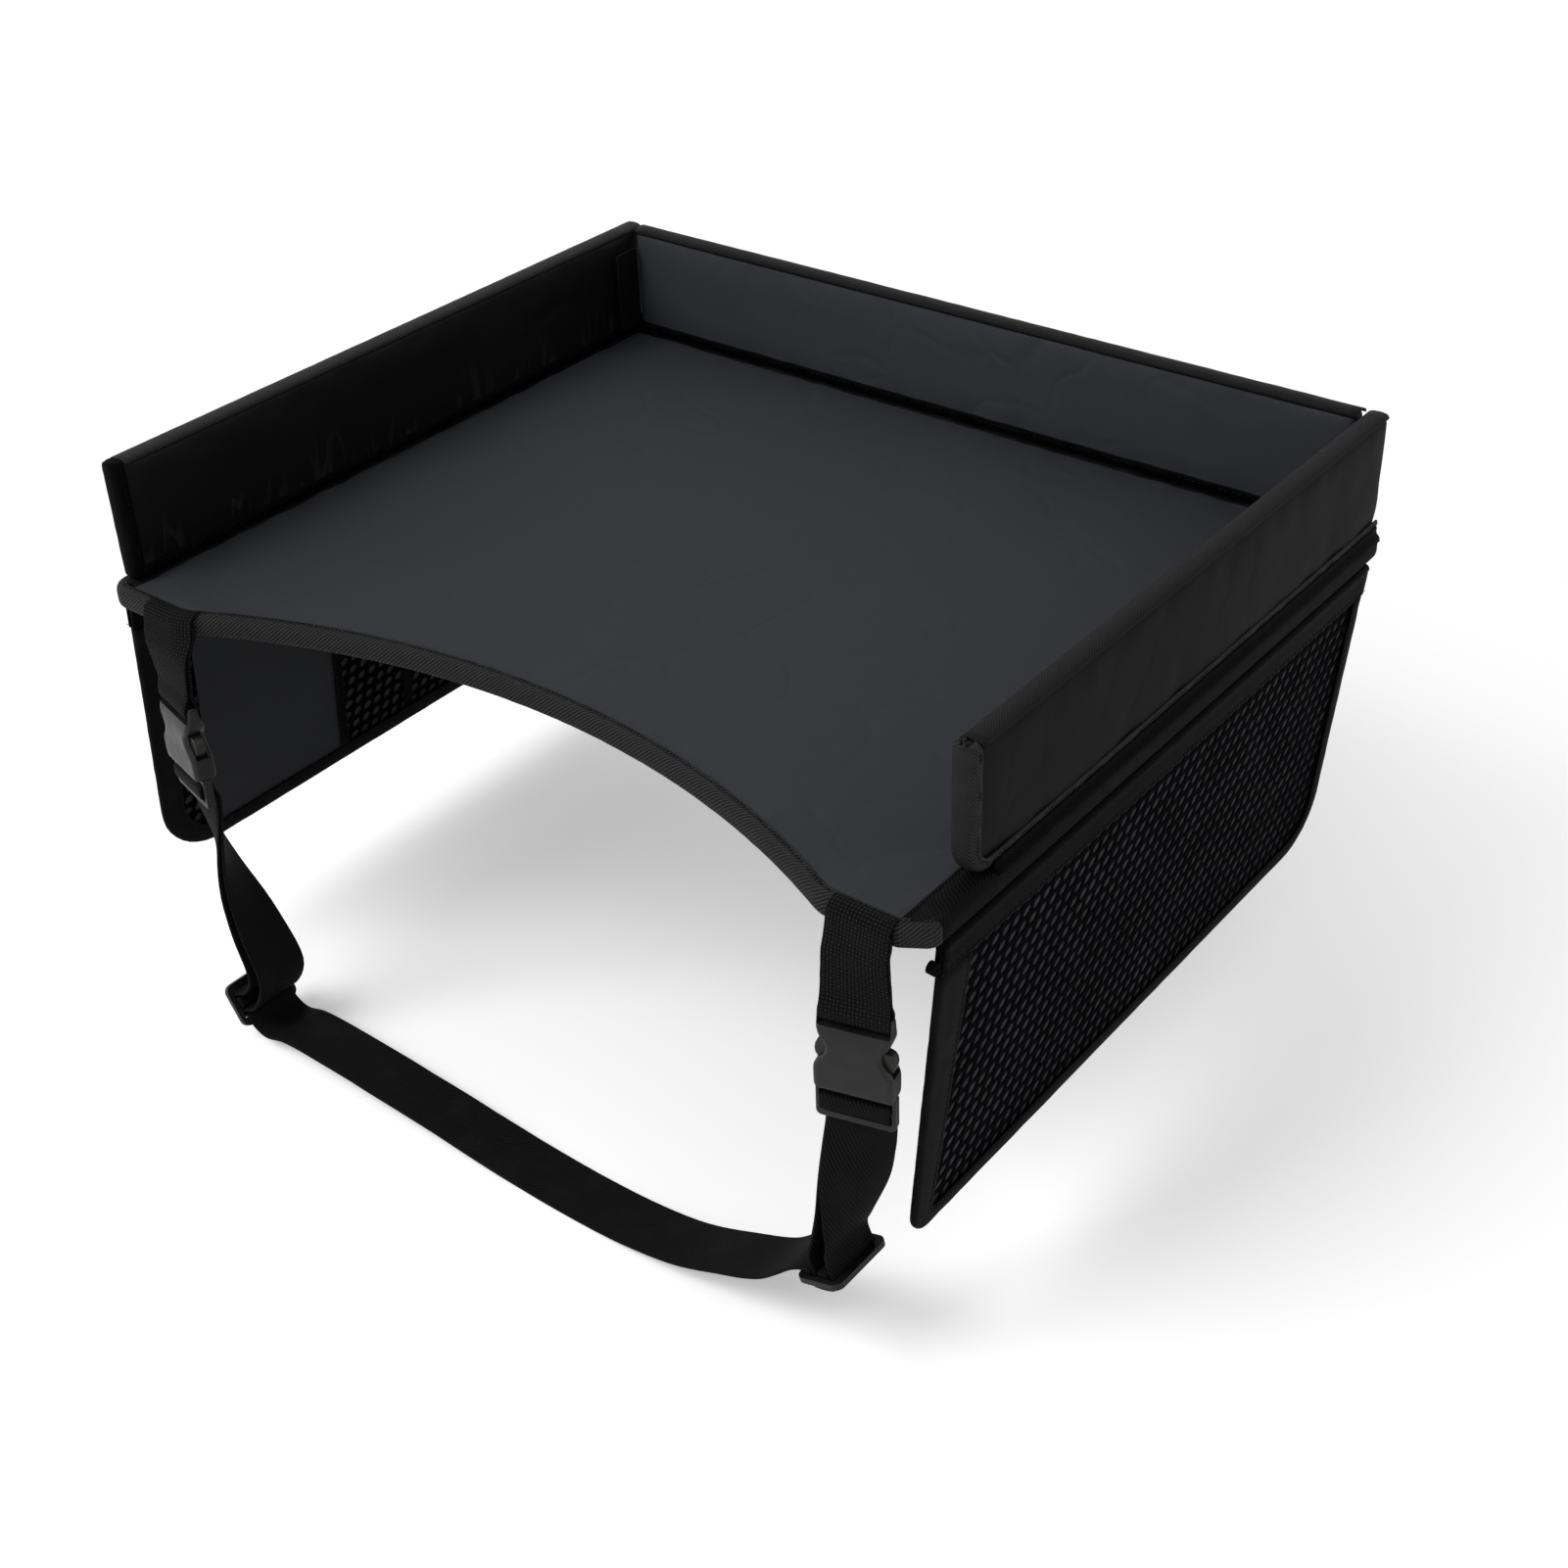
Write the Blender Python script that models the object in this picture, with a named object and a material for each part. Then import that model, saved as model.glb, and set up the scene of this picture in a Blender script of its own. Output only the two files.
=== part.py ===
"""A padded travel tray table for a child's car seat: a soft table with three fold-down
walls, two hanging net flaps and a waist belt with two side release buckles.

Lengths are in metres. X runs to the right and Y to the back, as the child sees it, and Z
runs up. The origin is the middle of the table's underside.
"""

import math

import bmesh
import bpy
from mathutils import Vector

# Overall sizes
table_width = 0.400
table_depth = 0.320
overall_height = 0.200
rim_height = 0.062
table_thickness = 0.010
clearance = 0.0003
slim_gap = 0.0001
least_radius = 0.0004
least_span = 0.002
cut_overrun = 0.002
smooth_degrees = 32

half_width = table_width / 2
half_depth = table_depth / 2

# Table outline: two shoulders with a round recess between them for the child
shoulder_reach = 0.007
recess_depth = 0.038
recess_reach_share = 0.8025
recess_fillet = 0.018
recess_offset = 0.002
left_corner_radius = 0.010
right_corner_run = 0.011
back_left_radius = 0.010
back_right_radius = 0.009
recess_steps = 20
fillet_steps = 4
corner_steps = 5

corner_share = 0.3

front_y = -(half_depth + shoulder_reach)
recess_reach = half_width * recess_reach_share
recess_and_fillet = (recess_reach**2 + recess_depth**2) / (2 * recess_depth)
recess_radius = recess_and_fillet - recess_fillet

# Walls
wall_thickness = 0.0098
wall_lip = 0.0025
wall_front_step = 0.023
wall_back_margin = 0.0006
wall_binding = 0.0009
wall_leg = 0.0055
wall_corner_right = 0.012
wall_corner_small = 0.003
wall_pad_round = 0.003
wall_pad_fade = 0.0085
wall_board_thickness = 0.0024
wall_board_height = 0.047
wall_board_end = 0.004
band_step = 0.0015

wall_front_left = half_depth
wall_front_right = half_depth - wall_front_step
side_hinge_x = half_width - wall_lip
back_hinge_y = half_depth - wall_lip
wall_hinge_z = table_thickness + clearance / 2
wall_base = clearance / 2
wall_top = rim_height - wall_hinge_z
wall_inner_face = wall_thickness - clearance

# Table layers and edge bindings
edge_binding = 0.0009
edge_round = 0.0014
front_leg = 0.005
lining_thickness = 0.0010
board_thickness = 0.0030
foam_thickness = 0.0040
cover_thickness = 0.0011

side_leg = wall_lip + wall_thickness
layer_inset = edge_binding + clearance
back_binding_y = half_depth - side_leg - edge_round
lining_top = lining_thickness
board_low = lining_top + clearance
foam_low = board_low + board_thickness + clearance
foam_top = foam_low + foam_thickness
cover_low = table_thickness - cover_thickness

# Hook and loop closures in the back corners
strip_length = 0.012
strip_height = 0.036
strip_rise = 0.006
strip_thickness = 0.0008
tab_overhang = 0.0015
corner_tab_thickness = 0.0010

# Hanging flaps
flap_lean_degrees = 5
flap_hinge_inset = 0.002
flap_front_margin = 0.005
flap_back_margin = 0.012
flap_bead_radius = 0.0020
flap_hem_depth = 0.012
flap_half_thickness = 0.0017
flap_tape = 0.0006
flap_net_thickness = 0.0006
flap_lining_thickness = 0.0007
flap_net_offset = 0.0002
flap_side_leg_top = 0.018
flap_side_leg_low = 0.011
flap_leg = 0.0075
flap_back_radius = 0.024
flap_front_radius_right = 0.010
flap_front_radius_left = 0.028
net_columns = 18
net_rows = 7
net_margin = 0.003
pocket_front = 0.022
pocket_width = 0.078
pocket_tape_width = 0.005
divider_place = 0.143
tail_radius = 0.0026
tail_rise = 0.006
tail_neck_share = 1.2
tail_opening_degrees = 50

flap_hinge_x = half_width - flap_hinge_inset
flap_hinge_z = -(flap_bead_radius + clearance)
flap_front = -half_depth + flap_front_margin
flap_back = half_depth - flap_back_margin
flap_drop = (overall_height - rim_height + flap_hinge_z) / math.cos(math.radians(flap_lean_degrees))

# Belt
belt_yaw_degrees = 15
belt_web = 0.0014
belt_width = 0.025
anchor_width = 0.026
anchor_thickness = 0.0032
left_tab_inset = 0.039
tab_drop = 0.0275
tab_bend_share = 0.78
tab_foot_share = 0.42
buckle_width = 0.0288
buckle_thickness = 0.0095
socket_length = 0.033
socket_bar_length = 0.003
socket_bar_half = 0.0015
socket_slot_end = 0.008
socket_waist = 0.020
cavity_width = 0.0225
cavity_half = 0.0025
window_start = 0.0125
window_end = 0.0235
plug_length = 0.0140
plug_front = 0.0022
plug_back = 0.0016
collar_length = 0.0023
plug_slot = 0.0030
plug_bar = 0.0024
plug_far_slot = 0.0036
plug_corner = 0.0012
tongue_half = 0.0034
tongue_length = 0.018
plug_root = 0.005
arm_thickness = 0.0040
arm_inner = 0.0070
slider_length = 0.030
slider_width = 0.020
slider_thickness = 0.0024
slider_bar_half = 0.0015
slider_slot = 0.0045
slider_ease = 0.0005
layer_room = 0.0011
tail_share = 0.35
bend_share = 0.86
plug_bend_share = 0.80
right_slider_inset = 0.008
right_slider_drop = 0.1457
right_slider_tilt = 18
left_slider_inset = 0.015
left_slider_drop = 0.1727
left_slider_tilt = 60
waist_drop = 0.1872

anchor_front = front_y - clearance - anchor_thickness
belt_y = anchor_front - clearance
belt_z = -clearance
right_tab_x = half_width - right_corner_run - anchor_width / 2
left_tab_x = half_width - left_tab_inset
right_slider_x = right_tab_x - right_slider_inset
left_slider_x = left_tab_x - left_slider_inset
web_offset = belt_web / 2 + clearance
layer_pitch = belt_web + clearance
near_slot_low = socket_length + clearance + collar_length
near_slot_high = near_slot_low + plug_slot
far_slot_low = near_slot_high + plug_bar
far_slot_high = far_slot_low + plug_far_slot


def clear_scene():
    for item in list(bpy.data.objects):
        bpy.data.objects.remove(item, do_unlink=True)


def make_material(name, colour, roughness):
    material = bpy.data.materials.new(name)
    material.use_nodes = True
    shader = material.node_tree.nodes["Principled BSDF"]
    shader.inputs["Base Color"].default_value = (*colour, 1.0)
    shader.inputs["Roughness"].default_value = roughness
    shader.inputs["Metallic"].default_value = 0.0
    return material


def make_axis(name, place, turn=(0.0, 0.0, 0.0), parent=None):
    axis = bpy.data.objects.new(name, None)
    axis.location = place
    axis.rotation_euler = turn
    axis.parent = parent
    bpy.context.scene.collection.objects.link(axis)
    return axis


def make_body(name, shape, look, parent=None):
    points, faces = shape
    mesh = bpy.data.meshes.new(name)
    mesh.from_pydata(points, [], faces)
    work = bmesh.new()
    work.from_mesh(mesh)
    bmesh.ops.recalc_face_normals(work, faces=work.faces)
    work.to_mesh(mesh)
    work.free()
    mesh.shade_smooth()
    mesh.set_sharp_from_angle(angle=math.radians(smooth_degrees))
    body = bpy.data.objects.new(name, mesh)
    body.parent = parent
    bpy.context.scene.collection.objects.link(body)
    if look:
        colour, roughness = look
        mesh.materials.append(make_material(name, colour, roughness))
    return body


def cut_away(body, *shapes):
    """Cuts each closed shape out of the body and keeps the result as its mesh."""
    cutters = []
    for shape in shapes:
        cutter = make_body(body.name + "_cutter", shape, None, body.parent)
        cutter.hide_render = True
        cutter.display_type = "WIRE"
        modifier = body.modifiers.new("cut", "BOOLEAN")
        modifier.operation = "DIFFERENCE"
        modifier.solver = "EXACT"
        modifier.object = cutter
        cutters.append(cutter)
    bpy.context.view_layer.update()
    graph = bpy.context.evaluated_depsgraph_get()
    mesh = bpy.data.meshes.new_from_object(body.evaluated_get(graph), depsgraph=graph)
    body.modifiers.clear()
    body.data = mesh
    mesh.set_sharp_from_angle(angle=math.radians(smooth_degrees))
    for cutter in cutters:
        bpy.data.objects.remove(cutter, do_unlink=True)


def loft(rings, caps=None):
    """Joins rings of equal count one after another and closes both ends, or their parts."""
    points = []
    for ring in rings:
        points.extend(ring)
    count = len(rings[0])
    faces = []
    for level in range(len(rings) - 1):
        low = level * count
        high = low + count
        for index in range(count):
            following = (index + 1) % count
            faces.append((low + index, low + following, high + following, high + index))
    last = (len(rings) - 1) * count
    for cap in caps or [tuple(range(count))]:
        faces.append(cap)
        faces.append(tuple(last + index for index in cap))
    return points, faces


def arc(centre_x, centre_y, radius, start, end, steps):
    points = []
    for step in range(steps + 1):
        angle = math.radians(start + (end - start) * step / steps)
        points.append((centre_x + radius * math.cos(angle), centre_y + radius * math.sin(angle)))
    return points


def round_box(left, right, low, high, radii, steps=corner_steps):
    """A rectangle's outline with four corner radii: low left, low right, high right, high left."""
    low_left, low_right, high_right, high_left = radii
    points = arc(left + low_left, low + low_left, low_left, 180, 270, steps)
    points += arc(right - low_right, low + low_right, low_right, 270, 360, steps)
    points += arc(right - high_right, high - high_right, high_right, 0, 90, steps)
    points += arc(left + high_left, high - high_left, high_left, 90, 180, steps)
    return points


def smaller_radius(radius, inset):
    return max(radius - inset, least_radius)


# Table


def front_run(side_inset, front_inset):
    """The outline from the left side round the front to the right side, moved inwards."""
    left_x = -half_width + side_inset
    right_x = half_width - side_inset
    low_y = front_y + front_inset
    corner = smaller_radius(left_corner_radius, max(side_inset, front_inset))
    points = arc(left_x + corner, low_y + corner, corner, 180, 270, corner_steps)
    rise = recess_and_fillet - recess_depth
    lean = math.degrees(math.atan2(rise, recess_reach))
    fillet = smaller_radius(recess_fillet, front_inset)
    fillet_y = front_y + recess_fillet
    circle_y = fillet_y - rise
    points += arc(recess_offset - recess_reach, fillet_y, fillet, 270, 360 - lean, fillet_steps)
    circle = recess_radius + front_inset
    points += arc(recess_offset, circle_y, circle, 180 - lean, lean, recess_steps)[1:-1]
    points += arc(recess_offset + recess_reach, fillet_y, fillet, 180 + lean, 270, fillet_steps)
    slope = shoulder_reach / right_corner_run
    length = math.hypot(shoulder_reach, right_corner_run)
    line_x = half_width - right_corner_run - front_inset * shoulder_reach / length
    line_y = front_y + front_inset * right_corner_run / length
    low_x = min(line_x + (low_y - line_y) / slope, right_x - least_radius)
    high_y = max(line_y + (right_x - line_x) * slope, low_y + least_radius)
    points.append((low_x, low_y))
    points.append((right_x, high_y))
    return points


def back_run(side_inset, back_inset):
    """The outline's two back corners, from right to left, moved inwards."""
    deepest = max(side_inset, back_inset)
    right = smaller_radius(back_right_radius, deepest)
    left = smaller_radius(back_left_radius, deepest)
    high_y = half_depth - back_inset
    side_x = half_width - side_inset
    points = arc(side_x - right, high_y - right, right, 0, 90, corner_steps)
    points += arc(-side_x + left, high_y - left, left, 90, 180, corner_steps)
    return points


def table_slab(side_inset, front_inset, back_inset, low, high):
    outline = front_run(side_inset, front_inset) + back_run(side_inset, back_inset)
    return loft([[(x, y, z) for x, y in outline] for z in (low, high)])


def edge_section(leg, split=None):
    """A folded tape round the table's edge, as pairs of inset and height."""
    top = table_thickness
    tape = edge_binding
    near = edge_round * corner_share
    middle = [] if split is None else [split]
    section = [(leg, 0.0)]
    section += [(inset, 0.0) for inset in middle]
    section += [(edge_round, 0.0), (near, near), (0.0, edge_round)]
    section += [(0.0, top - edge_round), (near, top - near), (edge_round, top)]
    section += [(inset, top) for inset in middle]
    section += [(leg, top), (leg, top - tape)]
    section += [(inset, top - tape) for inset in middle]
    section += [(tape, top - tape), (tape, tape)]
    section += [(inset, tape) for inset in middle]
    section.append((leg, tape))
    return section


def split_caps(section):
    """The end of a split section in three flat parts: two legs and the rest."""
    last = len(section) - 1
    top = 8
    low_leg = (0, 1, last - 1, last)
    high_leg = (top, top + 1, top + 2, top + 3)
    rest = tuple(range(1, top + 1)) + tuple(range(top + 3, last))
    return [low_leg, high_leg, rest]


def binding_along(run, section, caps=None):
    """Sweeps a section of inset and height pairs along a run that takes an inset."""
    runs = [run(inset) for inset, height in section]
    rings = []
    for station in range(len(runs[0])):
        ring = []
        for (inset, height), points in zip(section, runs):
            x, y = points[station]
            ring.append((x, y, height))
        rings.append(ring)
    return loft(rings, caps)


def side_run(side, inset):
    """The two ends of a side edge, its front end fitted round the front binding."""
    split = front_leg + clearance
    end_index = -1 if side > 0 else 0
    start_y = front_run(inset, inset)[end_index][1] + clearance
    if inset > split:
        start_y = front_y + split + clearance
    x = side * (half_width - inset)
    return [(x, start_y), (x, back_binding_y - clearance)]


def back_edge_run(inset):
    corners = back_run(inset, inset)
    x = half_width - inset
    return [(x, back_binding_y)] + corners + [(-x, back_binding_y)]


tabletop_look = ((0.034, 0.035, 0.039), 0.62)
cloth_look = ((0.012, 0.012, 0.013), 0.75)
tape_look = ((0.010, 0.010, 0.011), 0.82)
board_look = ((0.30, 0.26, 0.20), 0.80)
foam_look = ((0.42, 0.42, 0.40), 0.90)
net_look = ((0.009, 0.009, 0.010), 0.70)
web_look = ((0.008, 0.008, 0.009), 0.78)
plastic_look = ((0.011, 0.011, 0.012), 0.38)


def build_table():
    side = side_leg + clearance
    front = front_leg + clearance
    make_body("table_bottom_lining", table_slab(side, front, side, 0.0, lining_top), cloth_look)
    board = table_slab(layer_inset, layer_inset, layer_inset, board_low, board_low + board_thickness)
    make_body("table_board", board, board_look)
    foam = table_slab(layer_inset, layer_inset, layer_inset, foam_low, foam_top)
    make_body("table_foam", foam, foam_look)
    cover = table_slab(side, front, side, cover_low, table_thickness)
    make_body("table_top_cover", cover, tabletop_look)


def build_edge_bindings():
    front = binding_along(lambda inset: front_run(inset, inset), edge_section(front_leg))
    make_body("front_edge_binding", front, tape_look)
    split = front_leg + clearance
    section = edge_section(side_leg, split)
    for name, side in (("left_edge_binding", -1), ("right_edge_binding", 1)):
        shape = binding_along(lambda inset: side_run(side, inset), section, split_caps(section))
        make_body(name, shape, tape_look)
    make_body("back_edge_binding", binding_along(back_edge_run, edge_section(side_leg)), tape_look)


def build_anchors():
    low = -belt_z - slim_gap
    high = table_thickness - clearance
    for name, x in (("left_tab_anchor", -left_tab_x), ("right_tab_anchor", right_tab_x)):
        left = x - anchor_width / 2
        right = x + anchor_width / 2
        outline = [(left, low), (right, low), (right, high), (left, high)]
        rings = [[(px, y, pz) for px, pz in outline] for y in (anchor_front, front_y - clearance)]
        make_body(name, loft(rings), web_look)


# Walls. Along a wall, a is the place along its length, s the depth from its outer face and
# h the height over its hinge.

mid_share = 0.5
# Inset over the tape's edge, inset of a free edge, and half thickness of the pad.
pad_levels = [
    (0.0, 0.0, 0.0),
    (0.0, 0.10, 0.46),
    (0.09, 0.37, 0.78),
]
pad_step_share = 0.7
pad_free_share = 2.0
pad_flat_share = 4.0


def pad_rings(front, rear, low, high, radii, bound_low, bound_front):
    """The padded cover's rings, as lists of (a, s, h), from its outer face to its inner face."""
    tape_inset = wall_binding + clearance
    thin = wall_thickness / 2 - tape_inset
    full = wall_thickness / 2 - clearance
    zone = wall_leg - tape_inset + slim_gap
    half = []
    for bound_share, free_share, thickness_share in pad_levels:
        bound = tape_inset + bound_share * zone
        half.append((bound, free_share * wall_pad_round, thickness_share * thin))
    half.append((tape_inset + zone, wall_pad_round, thin))
    step_half = thin + pad_step_share * (full - thin)
    half.append((wall_leg + wall_binding / 2, wall_pad_round * pad_free_share, step_half))
    half.append((wall_leg + wall_pad_fade, wall_pad_round * pad_flat_share, full))
    levels = [(bound, free, -size) for bound, free, size in reversed(half)]
    levels += [(bound, free, size) for bound, free, size in half[1:]]
    rings = []
    for bound, free, offset in levels:
        front_inset = bound if bound_front else free
        low_inset = bound if bound_low else free
        corner_insets = (max(front_inset, low_inset), max(free, low_inset), free, max(free, front_inset))
        corner_radii = [smaller_radius(r, inset) for r, inset in zip(radii, corner_insets)]
        edges = (front + front_inset, rear - free, low + low_inset, high - free)
        outline = round_box(*edges, corner_radii)
        s = wall_thickness / 2 + offset
        rings.append([(a, s, h) for a, h in outline])
    return rings


def tape_section():
    """A folded tape round a wall's edge, as pairs of inset and depth."""
    tape = wall_binding
    near = tape * corner_share
    far = wall_thickness
    section = [(tape, 0.0), (near, near), (0.0, tape)]
    section += [(0.0, far - tape), (near, far - near), (tape, far)]
    section += [(wall_leg, far), (wall_leg, far - tape), (tape, far - tape)]
    section += [(tape, tape), (wall_leg, tape), (wall_leg, 0.0)]
    return section


# Drop below the rim as a share of the thickness, and the tape's depth there as a share.
rim_taper_shares = [(0.0, 0.55), (0.08, 0.86), (0.24, 1.0)]


def wall_tape_rings(front, rear, low, high, radius):
    """The tape down a wall's front end, round its lower corner and along its base."""
    section = tape_section()
    centre = wall_thickness / 2
    runs = []
    for inset, depth in section:
        corner = smaller_radius(radius, inset)
        run = []
        for drop_share, depth_share in rim_taper_shares:
            s = centre + (depth - centre) * depth_share
            run.append((front + inset, s, high - drop_share * wall_thickness))
        for a, h in arc(front + inset + corner, low + inset + corner, corner, 180, 270, corner_steps):
            run.append((a, depth, h))
        run.append((rear - band_step, depth, low + inset))
        runs.append(run)
    return [[run[station] for run in runs] for station in range(len(runs[0]))]


def base_tape_rings(front, rear, low):
    rings = []
    for a in (front, rear):
        rings.append([(a, depth, low + inset) for inset, depth in tape_section()])
    return rings


def box(a_range, s_range, h_range):
    a_low, a_high = a_range
    s_low, s_high = s_range
    rings = []
    for h in h_range:
        rings.append([(a_low, s_low, h), (a_high, s_low, h), (a_high, s_high, h), (a_low, s_high, h)])
    return rings


def build_wall(name, place, front, rear, radii, bound_front, corner_radius, looks):
    """One wall: padded cover, stiff board in a slot open at the base, and its edge tape."""
    axis, along_wall = place
    cover_look, tape_colour = looks
    cover_rings = pad_rings(front, rear, wall_base, wall_top, radii, True, bound_front)
    cover = make_body(name + "_cover", along_wall(cover_rings), cover_look, axis)
    middle = wall_thickness / 2
    board_half = wall_board_thickness / 2
    board_range = (front + max(wall_board_end, corner_radius), rear - wall_board_end)
    board_base = wall_base + wall_binding + clearance
    board_rings = box(
        board_range, (middle - board_half, middle + board_half), (board_base, wall_board_height)
    )
    slot_half = board_half + clearance
    slot_rings = box(
        (board_range[0] - clearance, board_range[1] + clearance),
        (middle - slot_half, middle + slot_half),
        (wall_base - cut_overrun, wall_board_height + clearance),
    )
    cut_away(cover, along_wall(slot_rings))
    make_body(name + "_board", along_wall(board_rings), board_look, axis)
    if bound_front:
        tape_rings = wall_tape_rings(front, rear, wall_base, wall_top, corner_radius)
    else:
        tape_rings = base_tape_rings(front, rear, wall_base)
    make_body(name + "_binding", along_wall(tape_rings), tape_colour, axis)


def mapped(change):
    """Turns rings of (a, s, h) into a closed shape by a rule for each point."""
    return lambda rings: loft([[change(*point) for point in ring] for ring in rings])


def build_walls():
    small = wall_corner_small
    rear = back_hinge_y
    left_axis = make_axis("left_wall_hinge", (-side_hinge_x, 0.0, wall_hinge_z))
    right_axis = make_axis("right_wall_hinge", (side_hinge_x, 0.0, wall_hinge_z))
    back_axis = make_axis("back_wall_hinge", (0.0, back_hinge_y, wall_hinge_z))
    on_left = mapped(lambda a, s, h: (s, a, h))
    on_right = mapped(lambda a, s, h: (-s, a, h))
    on_back = mapped(lambda a, s, h: (a, -s, h))
    looks = (cloth_look, tape_look)
    left_radii = (small, small, small, small)
    build_wall("left_wall", (left_axis, on_left), -wall_front_left, rear, left_radii, True, small, looks)
    right_radii = (wall_corner_right, small, small, small)
    right_place = (right_axis, on_right)
    build_wall(
        "right_wall", right_place, -wall_front_right, rear, right_radii, True, wall_corner_right, looks
    )
    back_half = side_hinge_x - wall_thickness - wall_back_margin
    build_wall("back_wall", (back_axis, on_back), -back_half, back_half, left_radii, False, small, looks)
    return left_axis, right_axis, back_axis


def build_closures(left_axis, right_axis, back_axis):
    """The loop strips on the side walls, and the back wall's tabs with their hook strips."""
    back_face = -wall_inner_face - clearance
    tab_front = back_face - strip_length - 2 * tab_overhang
    strip_back = back_face - tab_overhang
    strip_front = strip_back - strip_length
    low = wall_base + strip_rise
    high = low + strip_height
    loop_low = wall_inner_face + clearance
    hook_low = loop_low + strip_thickness + clearance
    tab_low = hook_low + strip_thickness + clearance
    for name, side, axis in (("left", 1, left_axis), ("right", -1, right_axis)):
        on_side = mapped(lambda a, s, h: (side * s, a, h))
        a_range = (strip_front + back_hinge_y, strip_back + back_hinge_y)
        loop = box(a_range, (loop_low, loop_low + strip_thickness), (low, high))
        make_body(name + "_wall_loop_strip", on_side(loop), cloth_look, axis)
        on_back = mapped(lambda a, s, h: (side * (s - side_hinge_x), a, h))
        hook = box((strip_front, strip_back), (hook_low, hook_low + strip_thickness), (low, high))
        make_body("back_wall_" + name + "_hook_strip", on_back(hook), plastic_look, back_axis)
        tab = box(
            (tab_front, back_face),
            (tab_low, tab_low + corner_tab_thickness),
            (low - tab_overhang, high + tab_overhang),
        )
        make_body("back_wall_" + name + "_tab", on_back(tab), cloth_look, back_axis)


# Flaps. On a flap, y is the place along its length, u the depth below its hinge and t the
# distance outwards from its middle sheet.


def flap_point(side, y, u, t):
    return (side * t, y, -u)


def flap_sheet(side, outline, low, high):
    return loft([[flap_point(side, y, u, t) for y, u in outline] for t in (low, high)])


def flap_outline(inset, front_radius, top):
    """The flap's outline inside its binding, as pairs of y and u."""
    front = smaller_radius(front_radius, inset)
    back = smaller_radius(flap_back_radius, inset)
    left = flap_front + inset
    right = flap_back - inset
    low = flap_drop - inset
    points = [(left, top)]
    points += arc(left + front, low - front, front, 180, 90, corner_steps + 1)
    points += arc(right - back, low - back, back, 90, 0, corner_steps + 1)
    points.append((right, top))
    return points


def flap_leg_outline(front_radius, top):
    """Where the binding's legs end: wide and tapered at the front, narrow elsewhere."""
    top_left = flap_front + flap_side_leg_top
    low_left = flap_front + flap_side_leg_low
    right = flap_back - flap_leg
    low = flap_drop - flap_leg
    front = smaller_radius(front_radius, flap_leg)
    back = smaller_radius(flap_back_radius, flap_leg)
    points = [(top_left, top)]
    points += arc(low_left + front, low - front, front, 180, 90, corner_steps + 1)
    points += arc(right - back, low - back, back, 90, 0, corner_steps + 1)
    points.append((right, top))
    return points


def flap_binding(side, front_radius):
    """A folded tape round the front, the foot and the back of a flap."""
    top = flap_hem_depth + clearance
    full = flap_half_thickness
    inner = full - flap_tape
    near = flap_tape * corner_share
    edge = flap_outline(0.0, front_radius, top)
    eased = flap_outline(near, front_radius, top)
    wall = flap_outline(flap_tape, front_radius, top)
    leg = flap_leg_outline(front_radius, top)
    section = [(eased, full), (edge, full - near), (edge, near - full), (eased, -full)]
    section += [(leg, -full), (leg, -inner), (wall, -inner)]
    section += [(wall, inner), (leg, inner), (leg, full)]
    rings = []
    for station in range(len(edge)):
        rings.append([flap_point(side, *points[station], t) for points, t in section])
    return loft(rings)


def flap_hem(side):
    """The top hem: a round bead on the hinge line and two legs down over the sheets."""
    full = flap_half_thickness
    inner = full - flap_tape
    roof = flap_bead_radius + flap_tape + clearance
    start = math.degrees(math.acos(full / flap_bead_radius))
    bead = arc(0.0, 0.0, flap_bead_radius, start, -180 - start, 2 * corner_steps)
    section = [(full, flap_hem_depth)] + bead + [(-full, flap_hem_depth)]
    section += [(-inner, flap_hem_depth), (-inner, roof), (inner, roof), (inner, flap_hem_depth)]
    rings = []
    for y in (flap_front, flap_back):
        rings.append([flap_point(side, y, u, t) for t, u in section])
    return loft(rings)


# A net gap's four corners, as shares of the pitch along the flap and down it.
gap_shares = [(-0.20, -0.36), (0.27, -0.14), (0.20, 0.36), (-0.27, 0.14)]


def net_gaps(side, front_radius):
    """Slanted gaps in staggered rows, as one shape of separate prisms."""
    left = flap_front + flap_side_leg_top + net_margin
    right = flap_back - flap_leg - net_margin
    high = flap_hem_depth + net_margin
    low = flap_drop - flap_leg - net_margin
    pitch_y = (right - left) / net_columns
    pitch_u = (low - high) / net_rows
    back_corner = (flap_back - flap_back_radius, flap_drop - flap_back_radius)
    front_corner = (flap_front + front_radius, flap_drop - front_radius)
    points = []
    faces = []
    for row in range(net_rows):
        stagger = pitch_y / 2 if row % 2 else 0.0
        for column in range(net_columns - row % 2):
            centre_y = left + pitch_y * (column + mid_share) + stagger
            centre_u = high + pitch_u * (row + mid_share)
            corners = [(centre_y + a * pitch_y, centre_u + b * pitch_u) for a, b in gap_shares]
            if any(outside_corner(corner, back_corner, 1, flap_back_radius) for corner in corners):
                continue
            if any(outside_corner(corner, front_corner, -1, front_radius) for corner in corners):
                continue
            low_t = flap_net_offset - cut_overrun
            high_t = flap_net_offset + flap_net_thickness + cut_overrun
            start = len(points)
            prism, prism_faces = flap_sheet(side, corners, low_t, high_t)
            points.extend(prism)
            faces.extend(tuple(start + index for index in face) for face in prism_faces)
    return points, faces


def outside_corner(point, centre, direction, radius):
    """Whether a point lies in a rounded corner's zone and too near its edge for a gap."""
    y = (point[0] - centre[0]) * direction
    u = point[1] - centre[1]
    return y > 0 and u > 0 and math.hypot(y, u) > radius - flap_leg - net_margin


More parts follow.
